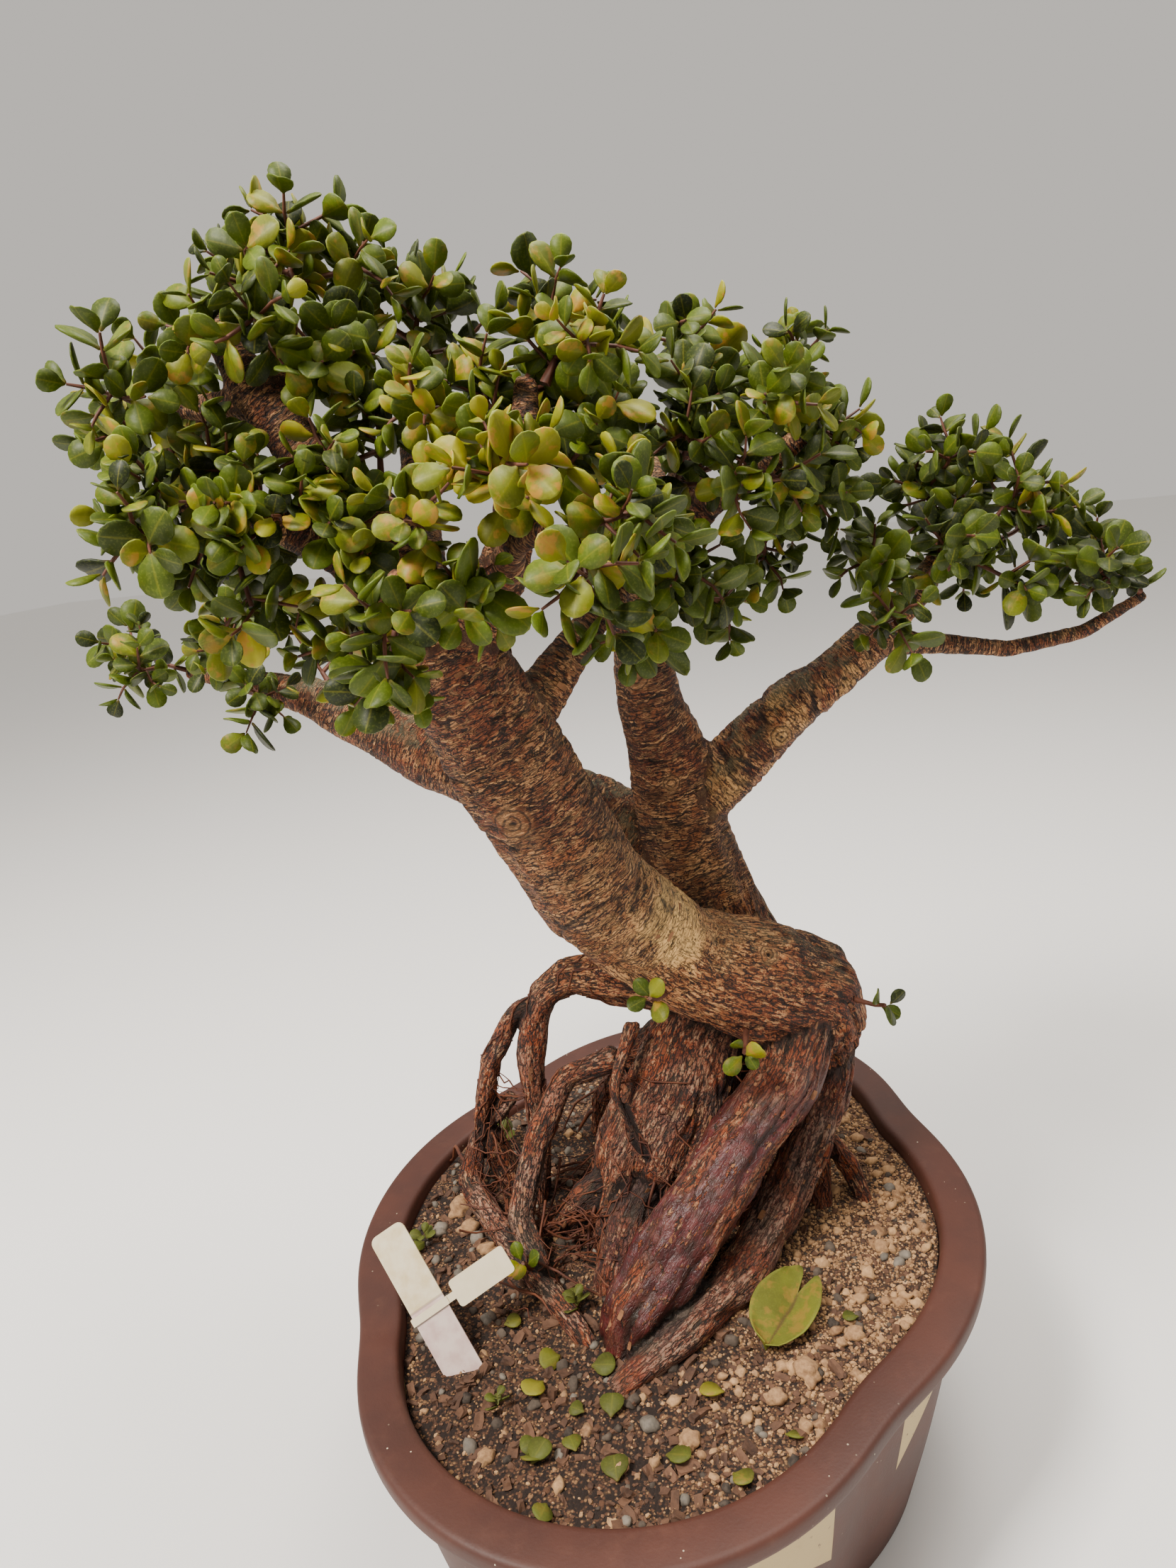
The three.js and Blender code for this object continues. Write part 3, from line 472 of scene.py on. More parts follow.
def bark_material(settings):
    """Jade bark: dry, matt skin of thin scales that run round the trunk, and along the roots."""
    look = Look("jade_bark")
    limb = look.attribute("limb", "Vector")
    names = ("rooted", "strand", "groove", "bloom", "sunny", "maroon", "ashen", "knot")
    root, strand, groove, bloom, sunny, maroon, ashen, knot = map(look.attribute, names)
    cloud = look.noise(26 * MM, 4)
    hue = look.noise(9 * MM, 3, 0.6)
    rings = look.noise((6.5 * MM, 6.5 * MM, 1.0 * MM), 4, 0.65, limb)
    fibres = look.noise((1.4 * MM, 1.4 * MM, 7.0 * MM), 4, 0.65, limb)
    grain = rings + (fibres - rings) * strand
    scales = look.noise(1.1 * MM, 3, 0.6) * 0.35 + grain * 0.65
    round_cracks = look.cracks(limb, (4.5 * MM, 4.5 * MM, 1.7 * MM))
    long_cracks = look.cracks(limb, (2.0 * MM, 2.0 * MM, 6.5 * MM))
    from_crack = round_cracks + (long_cracks - round_cracks) * strand
    trunk_share = 1.0 - strand
    # The trunk: brown to russet, with tan scales.
    skin = blend(cloud.band(0.32, 0.6), settings.bark_dark, settings.bark)
    skin = blend(look.noise(55 * MM, 2).band(0.44, 0.62) * 0.75, skin, settings.russet)
    # Painted sunlight: orange skin and paler, more lifted scales in the lit patch on the bend and its soft
    # glow.
    skin = blend(sunny * 0.9, skin, linear("#cd7f3e"))
    tan = blend(hue.band(0.36, 0.6), linear("#ab6034"), settings.fleck)
    tan = blend(sunny, tan, settings.sunny)
    fleck = ((scales + cloud * 0.26 + sunny * 0.16 - 0.625) * 12.0).band(0.0, 1.0)
    skin = blend(fleck * 0.8, skin, tan)
    # Rings that the fallen leaves left round the trunk, each part between them a little lighter or darker.
    turns = look.split(limb)[2] / RING_SPACING + look.noise(30 * MM) * 2.4
    part = look.value("TexWhiteNoise", {"W": work_out("FLOOR", turns)}, "Value", noise_dimensions="1D")
    from_ring = work_out("FRACT", turns)
    skin = blend(part * 0.42 * trunk_share, skin, settings.bark_dark)
    ring_share = look.noise(16 * MM, 2).band(0.42, 0.54) * trunk_share
    ring = from_ring.band(0.12, 0.07) * ring_share
    step = from_ring.band(0.88, 0.95) * ring_share
    skin = blend(ring * 0.75, skin, settings.fleck)
    # The roots: orange-brown, with papery tan scales, and smooth maroon skin where these have come off.
    red = blend(cloud.band(0.3, 0.56), settings.root_dark, settings.root)
    papery = blend(hue.band(0.35, 0.58), linear("#a85c26"), settings.flake)
    red = blend((hue * 0.3 + scales).band(0.675, 0.73) * 0.7, red, papery)
    red = blend(ashen * scales.band(0.42, 0.56), red, settings.ashen)
    chipped = look.noise((3.5 * MM, 3.5 * MM, 8 * MM), 4, 0.65, limb).band(0.56, 0.6)
    maroon = maroon * (1.0 - chipped)
    red = blend(maroon, red, blend(hue.band(0.4, 0.65), settings.maroon, linear("#54181b")))
    # Cracks and scales are shaded and raised less on the smooth maroon skin and in the painted sunlight.
    rough = 1.0 - work_out("MINIMUM", maroon * 0.8 + sunny * 0.3, 0.85)
    body = blend(root, skin, red)
    # Painted shade between the scales, in creases round the trunk, in grooves and under the ring steps.
    crack = from_crack.band(0.13, 0.03) * grain.band(0.66, 0.48)
    from_fold = abs(look.noise((26 * MM, 26 * MM, 5 * MM), 2, 0.5, limb) - 0.5)
    crease = from_fold.band(0.014, 0.003) * trunk_share
    # Knots: thin rings of scar tissue round a small eye, with painted shade between the rings and in the
    # eye.
    gap = hue * 0.5 + knot - 0.25
    near = gap.band(1.3, 0.95)
    rib = work_out("SINE", gap * 15.0) * near
    layers = [
        (crack * rough * 0.95, settings.crevice),
        (scales.band(0.495, 0.425) * rough * 0.85, settings.crevice),
        (from_fold.band(0.034, 0.018) * trunk_share * 0.45, tan),
        (crease * 0.75, settings.crevice),
        (groove.band(0.42, 0.1) * 0.85, settings.crevice),
        (step * 0.65, settings.crevice),
        (near * 0.35, tan),
        (rib.band(0.35, 0.95) * 0.75, settings.crevice),
        (gap.band(0.34, 0.14) * 0.85, settings.crevice),
        (bloom * look.noise(12 * MM, 5, 0.7).band(0.46, 0.56) * 0.6, settings.lichen),
    ]
    for share, shade in layers:
        body = blend(share, body, shade)
    height = (scales - crack * 0.25) * rough - crease * 0.3 - step * 0.3 + ring * 0.2 - rib * 0.25
    return look.finish(body, 0.76 - maroon * 0.36, height, 2.6 * MM)


def leaf_material(settings, name="jade_leaf", roughness=0.5, mark_low=0.52, fade=0.0,
                  vein=("#a39c22", 0.18)):
    """A waxy fleshy leaf: smooth green that turns yellow in the sun, its tint also carrying painted light
    and shade, with tan marks and a faint vein.
    """
    look = Look(name)
    tint = look.attribute("tint")
    across, along, _ = look.split(look.value("UVMap", uv_map="leaf"))
    green = look.ramp(tint, [(0.0, settings.dark), (0.5, settings.green), (1.0, settings.yellow)])
    # Painted light and shade: the leaf colour lightened and darkened in soft clouds.
    limits = {"Value": look.noise(14 * MM), "From Min": 0.3, "From Max": 0.7, "To Min": 0.7, "To Max": 1.3}
    shaded = {0: 1.0, 6: green, 7: look.value("MapRange", limits)}
    body = look.value("Mix", shaded, 2, data_type="RGBA", blend_type="MULTIPLY")
    off_vein = abs(across - 0.5)
    marks = look.noise(8 * MM, 4, 0.6).band(mark_low, mark_low + 0.12) * tint.band(0.4, 0.8)
    rim = work_out("MAXIMUM", off_vein.band(0.42, 0.5), along.band(0.94, 1.0))
    layers = [
        (marks * 0.8, settings.blotch),
        (off_vein.band(0.05, 0.0) * vein[1], linear(vein[0])),
        (look.noise(1.1 * MM, 2).band(0.5, 0.64) * 0.1, settings.rim),
        (rim * (tint * 0.4 + 0.08), settings.rim),
        (along.band(0.2, 0.0) * 0.6, linear("#6f5a24")),
        (fade, linear("#56502b")),
    ]
    for share, shade in layers:
        body = blend(share, body, shade)
    flesh = {
        "Specular_IOR_Level": 0.24, "Subsurface_Weight": 0.22, "Subsurface_Radius": (0.6, 1.0, 0.2),
        "Subsurface_Scale": 1.5 * MM,
    }
    return look.finish(body, roughness, look.noise(3 * MM, 2), 0.5 * MM, 0.2, **flesh)


def natural(name, first, second, size, roughness, depth):
    """A matt natural surface clouded between two colours, whose copies differ by their tint."""
    look = Look(name)
    cloud = look.noise(size, 4, 0.6)
    share = look.attribute("tint") * 0.6 + cloud.band(0.3, 0.7) * 0.4
    return look.finish(blend(share, first, second), roughness, cloud, depth, 0.6)


def potting_mix(settings):
    """Potting mix: pumice sand, crumbs and peat, quite matt, in fine grains with some coarse ones."""
    look = Look("potting_mix")
    shades = [
        (0.0, settings.peat), (0.3, settings.crumb), (0.48, settings.pumice), (0.62, settings.crumb),
        (0.72, settings.pumice), (0.82, settings.pumice_light), (0.94, settings.grit),
    ]
    shift = look.attribute("sandy") * 0.33 + look.noise(12 * MM).band(0.35, 0.65) * 0.3 - 0.19
    layers = []
    for size in (FINE_GRAIN, COARSE_GRAIN):
        gap, (pick, chance, _) = look.grains(size)
        grains = look.ramp(pick * 0.62 + shift, shades, "CONSTANT")
        # Painted shade in the gaps between the grains, in the colour of peat.
        layers.append((blend(gap.band(0.3, 0.65) * 0.85, grains, settings.peat), gap, chance))
    (fine, fine_gap, _), (coarse, coarse_gap, chance) = layers
    stone = (chance < 0.34) * (coarse_gap < 0.5)
    height = stone * (1.4 - coarse_gap) - fine_gap * 0.6
    return look.finish(blend(stone, fine, coarse), 0.95, height, 1.3 * MM, 0.9)


def stake_material(settings):
    """A moulded plastic stake, smooth and a little waxy, with a matt paper sticker over its upper half."""
    look = Look("moulded_plastic")
    stake = TAG_TOP - TAG_FOOT
    from_foot = look.value("VectorMath", {0: look.place, 1: TAG_FOOT}, operation="SUBTRACT")
    along = {0: from_foot, 1: stake / stake.length_squared}
    share = look.value("VectorMath", along, "Value", operation="DOT_PRODUCT")
    sticker = share > STICKER_EDGE
    cloud = look.noise(9 * MM, 4).band(0.35, 0.7)
    plastic = blend(cloud, settings.plastic, linear("#c9aba3"))
    paper = blend(cloud, settings.paper, linear("#d6c294"))
    body = blend(sticker, plastic, paper)
    body = blend(abs(share - STICKER_EDGE).band(0.012, 0.004) * 0.5, body, linear("#8a6f62"))
    return look.finish(body, sticker * 0.35 + 0.45)


def add_piece(name, mesh, material, stands_for=()):
    """Makes an object of a finished mesh, sets its finish and puts it on the part's one body."""
    piece = bpy.data.objects.new(name, mesh)
    bpy.context.scene.collection.objects.link(piece)
    mesh.materials.append(material)
    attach(piece, "root")
    if stands_for:
        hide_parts(*stands_for)
    return piece


def mesh_of(name, bm, smooth=True):
    mesh = bpy.data.meshes.new(name)
    for face in bm.faces:
        face.smooth = smooth
    bm.to_mesh(mesh)
    bm.free()
    return mesh


def evaluated(holder):
    """The finished mesh of an object with live modifiers or of a curve. The object is removed."""
    bpy.context.scene.collection.objects.link(holder)
    bpy.context.view_layer.update()
    mesh = bpy.data.meshes.new_from_object(holder.evaluated_get(bpy.context.evaluated_depsgraph_get()))
    bpy.data.objects.remove(holder)
    return mesh


def applied(mesh, *modifiers):
    """The mesh with modifiers applied. Each one is (kind, settings)."""
    holder = bpy.data.objects.new("holder", mesh)
    for kind, settings in modifiers:
        modifier = holder.modifiers.new(kind.lower(), kind)
        for key, value in settings.items():
            setattr(modifier, key, value)
    return evaluated(holder)


def welded(node):
    """A CAD node's solid as one joined bmesh."""
    bm = bmesh.new()
    bm.from_mesh(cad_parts[node].data)
    bmesh.ops.remove_doubles(bm, verts=bm.verts, dist=1e-6)
    return bm


def copies(name, template, matrices, tints):
    """One mesh of many placed copies of a template, each with its own tint."""
    count, corner_count = len(matrices), len(template.vertices)
    corners = np.empty(corner_count * 3)
    template.vertices.foreach_get("co", corners)
    placed = np.array([list(map(list, matrix)) for matrix in matrices])
    places = np.einsum("kij,nj->kni", placed[:, :3, :3], corners.reshape(-1, 3)) + placed[:, None, :3, 3]
    loops = np.empty(len(template.loops), np.int32)
    template.loops.foreach_get("vertex_index", loops)
    starts = np.empty(len(template.polygons), np.int32)
    template.polygons.foreach_get("loop_start", starts)
    step = np.arange(count)[:, None]
    mesh = bpy.data.meshes.new(name)
    mesh.vertices.add(count * corner_count)
    mesh.vertices.foreach_set("co", places.ravel())
    mesh.loops.add(count * len(loops))
    mesh.loops.foreach_set("vertex_index", (loops + step * corner_count).ravel())
    mesh.polygons.add(count * len(starts))
    mesh.polygons.foreach_set("loop_start", (starts + step * len(loops)).ravel())
    mesh.polygons.foreach_set("use_smooth", np.tile([p.use_smooth for p in template.polygons], count))
    mesh.update(calc_edges=True)
    if template.uv_layers:
        uvs = np.empty(len(loops) * 2)
        template.uv_layers[0].data.foreach_get("uv", uvs)
        mesh.uv_layers.new(name=template.uv_layers[0].name).data.foreach_set("uv", np.tile(uvs, count))
    shades = mesh.attributes.new("tint", "FLOAT", "POINT")
    shades.data.foreach_set("value", np.repeat(np.array(tints, np.float32), corner_count))
    return mesh


def lip_radius(angle):
    """How far the lip reaches from the pot's axis at one angle. The discs blend softly at the notches."""
    reaches = [SIDE_LOBE_RADIUS]
    for side in (1, -1):
        to_centre = side * math.sin(angle) * END_LOBE_OFFSET
        chord = math.sqrt(END_LOBE_RADIUS ** 2 - END_LOBE_OFFSET ** 2 + to_centre ** 2)
        reaches.append(to_centre + chord)
    longest = max(reaches)
    total = sum(max(reach / longest, 0) ** NOTCH_SHARPNESS for reach in reaches)
    return longest * total ** (1 / NOTCH_SHARPNESS)


def rounded(points, steps=4):
    """An open outline of (x, y, corner radius) with its corners rounded in a few steps."""
    outline = []
    for i, (x, y, radius) in enumerate(points):
        here = Vector((x, y))
        if radius == 0 or i in (0, len(points) - 1):
            outline.append(here)
            continue
        before, after = (Vector(points[k][:2]) for k in (i - 1, i + 1))
        start = here + (before - here).normalized() * min(radius, 0.45 * (before - here).length)
        end = here + (after - here).normalized() * min(radius, 0.45 * (after - here).length)
        for k in range(steps + 1):
            t = k / steps
            outline.append(start * (1 - t) ** 2 + here * 2 * t * (1 - t) + end * t ** 2)
    return outline


def lobed_spin(profile, steps):
    """A bmesh of a profile of (distance in from the lip, height), spun round the axis along the lobes."""
    bm = bmesh.new()
    line = [bm.verts.new((SIDE_LOBE_RADIUS - inset, 0, z)) for inset, z in profile]
    edges = [bm.edges.new(pair) for pair in zip(line, line[1:])]
    spin = {"cent": (0, 0, 0), "axis": (0, 0, 1), "angle": 2 * math.pi, "steps": steps, "use_merge": True}
    bmesh.ops.spin(bm, geom=line + edges, **spin)
    bmesh.ops.remove_doubles(bm, verts=bm.verts, dist=1e-6)
    for vert in bm.verts:
        plain = math.hypot(vert.co.x, vert.co.y)
        if plain > 1 * MM:
            lobed = lip_radius(math.atan2(vert.co.y, vert.co.x)) - (SIDE_LOBE_RADIUS - plain)
            vert.co.xy = vert.co.xy * (lobed / plain)
    bmesh.ops.recalc_face_normals(bm, faces=bm.faces)
    return bm


class MakePot(bpy.types.Operator):
    """Throws the four-lobed pot with its rounded lip, its wall and its two drain holes"""
    bl_idname = "bonsai.pot"
    bl_label = "Pot"

    def execute(self, context):
        axis = SIDE_LOBE_RADIUS / MM
        corners = [
            (axis, 0, 0), (42, 0, 3), (30, 50, 20), (21, 95, 20), (15, 130, 10), (12, 147, 3),
            (0, 149, 3.5), (0, 160, 4), (24, 160, 4), (27, 130, 14), (33, 95, 20), (42, 50, 12), (50, 14, 6),
            (axis, 14, 0),
        ]
        profile = [point * MM for point in rounded(corners)]
        mesh = mesh_of("pot_clay", lobed_spin(profile, 288))
        drill = bmesh.new()
        for y in (-DRAIN_HOLE_OFFSET, DRAIN_HOLE_OFFSET):
            hole = {"radius1": DRAIN_HOLE_RADIUS, "radius2": DRAIN_HOLE_RADIUS, "depth": 60 * MM}
            place = Matrix.Translation((0, y, 0))
            bmesh.ops.create_cone(drill, cap_ends=True, segments=48, matrix=place, **hole)
        drill_object = bpy.data.objects.new("drill", mesh_of("drill", drill, False))
        context.scene.collection.objects.link(drill_object)
        cut = {"operation": "DIFFERENCE", "object": drill_object, "solver": "EXACT"}
        mesh = applied(mesh, ("BOOLEAN", cut))
        bpy.data.objects.remove(drill_object)
        add_piece("pot_clay", mesh, stoneware(context.scene.bonsai_pot), ["pot"])
        return {"FINISHED"}


def soil_height(x, y):
    """The soil's surface: a low heap round the roots and a bank at the back left, a little uneven."""
    heap = 9 * MM * math.exp(-(x * x + y * y) / (110 * MM) ** 2)
    bank = 9 * MM * max(0.0, (-0.6 * x + 0.8 * y) / SIDE_LOBE_RADIUS) ** 3
    broad = 2.2 * MM * noise.noise(Vector((x, y, 0)) / (30 * MM))
    fine = 1.0 * MM * noise.noise(Vector((x, y, 3)) / (9 * MM))
    return SOIL_LEVEL + heap + bank + broad + fine


def in_pot(x, y, margin):
    return math.hypot(x, y) < lip_radius(math.atan2(y, x)) - SOIL_EDGE_INSET - margin


def pebble(subdivisions, roughness, seed):
    """A small knobbly stone of unit radius."""
    bm = bmesh.new()
    bmesh.ops.create_icosphere(bm, subdivisions=subdivisions, radius=1.0)
    for vert in bm.verts:
        vert.co *= 1 + roughness * noise.noise(vert.co * 1.3 + Vector((seed, 0, 0)))
    return mesh_of("pebble", bm, smooth=subdivisions > 1)


def splinter(seed):
    """A flat torn chip of bark, of unit length."""
    bm = bmesh.new()
    bmesh.ops.create_cube(bm, size=1.0)
    bmesh.ops.scale(bm, vec=(0.42, 1.0, 0.2), verts=bm.verts)
    bmesh.ops.subdivide_edges(bm, edges=bm.edges, cuts=1, use_grid_fill=True)
    for vert in bm.verts:
        vert.co += 0.2 * noise.noise_vector(vert.co * 2.4 + Vector((0, 0, seed)))
    return mesh_of("splinter", bm, smooth=False)


def strewn(rng, count, sizes, flatness, sink, likely):
    """Random placements of things that lie on the soil, more of them where they are likely."""
    placements = []
    while len(placements) < count:
        x = rng.uniform(-SIDE_LOBE_RADIUS, SIDE_LOBE_RADIUS)
        y = rng.uniform(-1, 1) * (END_LOBE_OFFSET + END_LOBE_RADIUS)
        if not in_pot(x, y, 2 * MM) or rng.random() > likely(x, y):
            continue
        size = sizes[0] + (sizes[1] - sizes[0]) * rng.random() ** 2.2
        spin = Matrix.Rotation(rng.uniform(0, 2 * math.pi), 4, "Z")
        lean = Matrix.Rotation(rng.gauss(0, 0.5), 4, "X")
        wide, long = rng.uniform(0.75, 1.25), rng.uniform(0.8, 1.2)
        shape = Matrix.Diagonal((size * wide, size * long, size * flatness, 1))
        place = Matrix.Translation((x, y, soil_height(x, y) + size * sink))
        placements.append(place @ spin @ lean @ shape)
    return placements


def everywhere(x, y):
    return 1.0


def right_side(x, y):
    """Pumice lies thickest on the right of the pot."""
    patchy = 60 * MM * noise.noise(Vector((x, y, 7)) * 22)
    return 0.12 + 0.88 * smoothstep(-60 * MM, 110 * MM, x + 0.35 * y + patchy)


def front_left(x, y):
    """Bark chips lie thickest at the front and on the left."""
    heap = math.exp(-((x + 35 * MM) ** 2 + (y + 10 * MM) ** 2) / (40 * MM) ** 2)
    patchy = 50 * MM * noise.noise(Vector((x, y, 9)) * 18)
    return 0.06 + heap + smoothstep(-40 * MM, 130 * MM, -0.5 * x - y + patchy)


def back_left(x, y):
    """Grey grit lies thickest at the back left."""
    return 0.15 + smoothstep(20 * MM, 120 * MM, -x + 0.2 * y)


class MakeSoil(bpy.types.Operator):
    """Fills the pot with peat, and strews pumice, grit, stones and bark chips on it"""
    bl_idname = "bonsai.soil"
    bl_label = "Soil"

    def execute(self, context):
        settings = context.scene.bonsai_soil
        rng = random.Random(7)
        axis = SIDE_LOBE_RADIUS
        rings = [SOIL_EDGE_INSET + k * (axis - SOIL_EDGE_INSET) / 60 for k in range(60)]
        wall = [(axis, 14.5), (51 * MM, 14.5), (43 * MM, 50), (34 * MM, 95), (28 * MM, 130)]
        wall = [(inset, height * MM) for inset, height in wall]
        bed = lobed_spin(wall + [(inset, SOIL_LEVEL) for inset in rings] + [(axis, SOIL_LEVEL)], 200)
        for vert in bed.verts:
            if vert.co.z > SOIL_LEVEL - 1 * MM:
                vert.co.z = soil_height(vert.co.x, vert.co.y)
        bed = mesh_of("soil_bed", bed)
        sandy = [right_side(vert.co.x, vert.co.y) for vert in bed.vertices]
        bed.attributes.new("sandy", "FLOAT", "POINT").data.foreach_set("value", sandy)
        add_piece("soil_bed", bed, potting_mix(settings), ["soil"])
        # Pumice: porous, cream to tan and quite matt.
        pumice = natural("pumice", linear("#6e4d34"), settings.pumice_light, 2 * MM, 0.9, 0.5 * MM)
        # River grit: grey and a little smooth.
        grit = natural("grey_grit", settings.grit, linear("#857a6c"), 3 * MM, 0.75, 0.4 * MM)
        # Lava rock: dark brown-grey, rough and matt.
        dark = natural("lava_rock", linear("#201a15"), linear("#5d5044"), 3 * MM, 0.9, 0.5 * MM)
        # Pine bark: torn brown chips, some lighter than others.
        chip = natural("bark_chips", settings.chip, linear("#6d4c36"), 4 * MM, 0.85, 0.6 * MM)
        layers = [
            ("pumice_grains", pebble(1, 0.35, 1), settings.grains, (0.5, 1.5), 0.8, 0.1, right_side, pumice),
            ("dark_crumbs", pebble(1, 0.5, 2), settings.grains // 3, (0.7, 2.2), 0.7, 0.1, everywhere, chip),
            ("pumice_stones", pebble(2, 0.7, 3), settings.stones, (1.3, 4.2), 0.75, 0.1, right_side, pumice),
            ("grey_stones", pebble(2, 0.4, 4), settings.stones // 4, (1.8, 5.0), 0.7, 0.2, back_left, grit),
            ("dark_stones", pebble(2, 0.6, 6), settings.stones // 2, (1.3, 4.0), 0.7, 0.1, everywhere, dark),
            ("bark_chips", splinter(5), settings.chips, (2.2, 10), 1.0, 0.05, front_left, chip),
        ]
        for name, template, count, sizes, flatness, sink, likely, material in layers:
            sizes = [size * MM for size in sizes]
            placements = strewn(rng, count, sizes, flatness, sink, likely)
            tints = [rng.random() for _ in placements]
            add_piece(name, copies(name, template, placements, tints), material)
        placements = []
        for (x, y), radius in BIG_STONES:
            x, y, radius = x * MM, y * MM, radius * MM
            place = Matrix.Translation((x, y, soil_height(x, y) + 0.3 * radius))
            turn = Matrix.Rotation(rng.uniform(0, 6), 4, "Z")
            placements.append(place @ turn @ Matrix.Diagonal((radius, radius * 0.8, radius * 0.6, 1)))
        add_piece("big_stones", copies("big_stones", pebble(3, 0.6, 8), placements, [0.4] * len(placements)),
                  pumice)
        return {"FINISHED"}


def curve_point(points, spot):
    """A point at a spot of a smooth curve through the points, counted in points."""
    i = min(int(spot), len(points) - 2)
    t = spot - i
    here, after = points[i], points[i + 1]
    before = points[i - 1] if i else here * 2 - after
    beyond = points[i + 2] if i + 2 < len(points) else after * 2 - here
    slope = (after - before) * 0.5
    slope_after = (beyond - here) * 0.5
    return (here * (2 * t ** 3 - 3 * t ** 2 + 1) + slope * (t ** 3 - 2 * t ** 2 + t)
            + after * (3 * t ** 2 - 2 * t ** 3) + slope_after * (t ** 3 - t ** 2))


def limb_stations(step=3 * MM):
    """Places along the middle of every limb: centre, radius, way, across, length so far, number, name."""
    stations = []
    for number, (name, points) in enumerate({**LIMBS, **ROOTS}.items()):
        places = [Vector(point[:3]) * MM for point in points]
        radii = [Vector((point[3] * MM, 0, 0)) for point in points]
        total = sum((b - a).length for a, b in zip(places, places[1:]))
        count = max(4, round(total / step))
        across, before, along = Vector((1, 0.3, 0.2)), None, 0.4 * number
        for k in range(count + 1):
            spot = k / count * (len(places) - 1)
            here = curve_point(places, spot)
            nudge = 0.01 if spot < len(places) - 1.02 else -0.01
            way = ((curve_point(places, spot + nudge) - here) * nudge).normalized()
            across = (across - way * across.dot(way)).normalized()
            along += (here - before).length if before else 0
            before = here
            stations.append((here, curve_point(radii, spot).x, way, across, along, number, name))
    return stations


def nearest_stations(places, stations):
    """For each place: its limb's station, the next limb's number, and how far off that limb's seam is."""
    centres = np.array([station[0] for station in stations])
    radii = np.array([station[1] for station in stations])
    numbers = np.array([station[5] for station in stations])
    starts = np.flatnonzero(np.diff(numbers, prepend=-1))
    chosen, others, seams = [], [], []
    for start in range(0, len(places), 4000):
        part = places[start:start + 4000]
        squares = (part ** 2).sum(1)[:, None] - 2 * part @ centres.T + (centres ** 2).sum(1)
        apart = np.sqrt(np.maximum(squares, 0)) / radii
        best = apart.argmin(1)
        by_limb = np.minimum.reduceat(apart, starts, axis=1)
        rank = by_limb.argsort(axis=1)[:, :2]
        nearest, second = np.take_along_axis(by_limb, rank, axis=1).T
        chosen.append(best)
        others.append(rank[:, 1])
        seams.append((second - nearest) * radii[best])
    return np.concatenate(chosen), np.concatenate(others), np.concatenate(seams)


def seam_share(name, other, height):
    """How deep a groove runs where two limbs meet. Roots lie apart, and a bough grows out of its trunk."""
    if name in ROOTS and other in ROOTS:
        return smoothstep(0.305, 0.28, height)
    if name in ROOTS or other in ROOTS:
        return 1.0 if {name, other} & {"bulb", "left_arch_root", "crossing_root"} else 0.3
    return 0.6 if {name, other} in ({"main_trunk", "low_trunk"}, {"main_trunk", "second_stem"}) else 0.0


def unrolled_places(places, stations, chosen):
    """Where each place would be if its limb were straight: across, beside and along it."""
    centres, ways, acrosses = (np.array([station[k] for station in stations])[chosen] for k in (0, 2, 3))
    offsets = places - centres
    besides = np.cross(ways, acrosses)
    along = np.array([station[4] for station in stations])[chosen] + (offsets * ways).sum(1)
    return np.stack([(offsets * acrosses).sum(1), (offsets * besides).sum(1), along], 1)


def stretched_noise(unrolled, wide, long):
    """Noise on a straightened limb, with lumps of one size round it and another along it."""
    return noise.noise(Vector((unrolled[0] / wide, unrolled[1] / wide, unrolled[2] / long)))


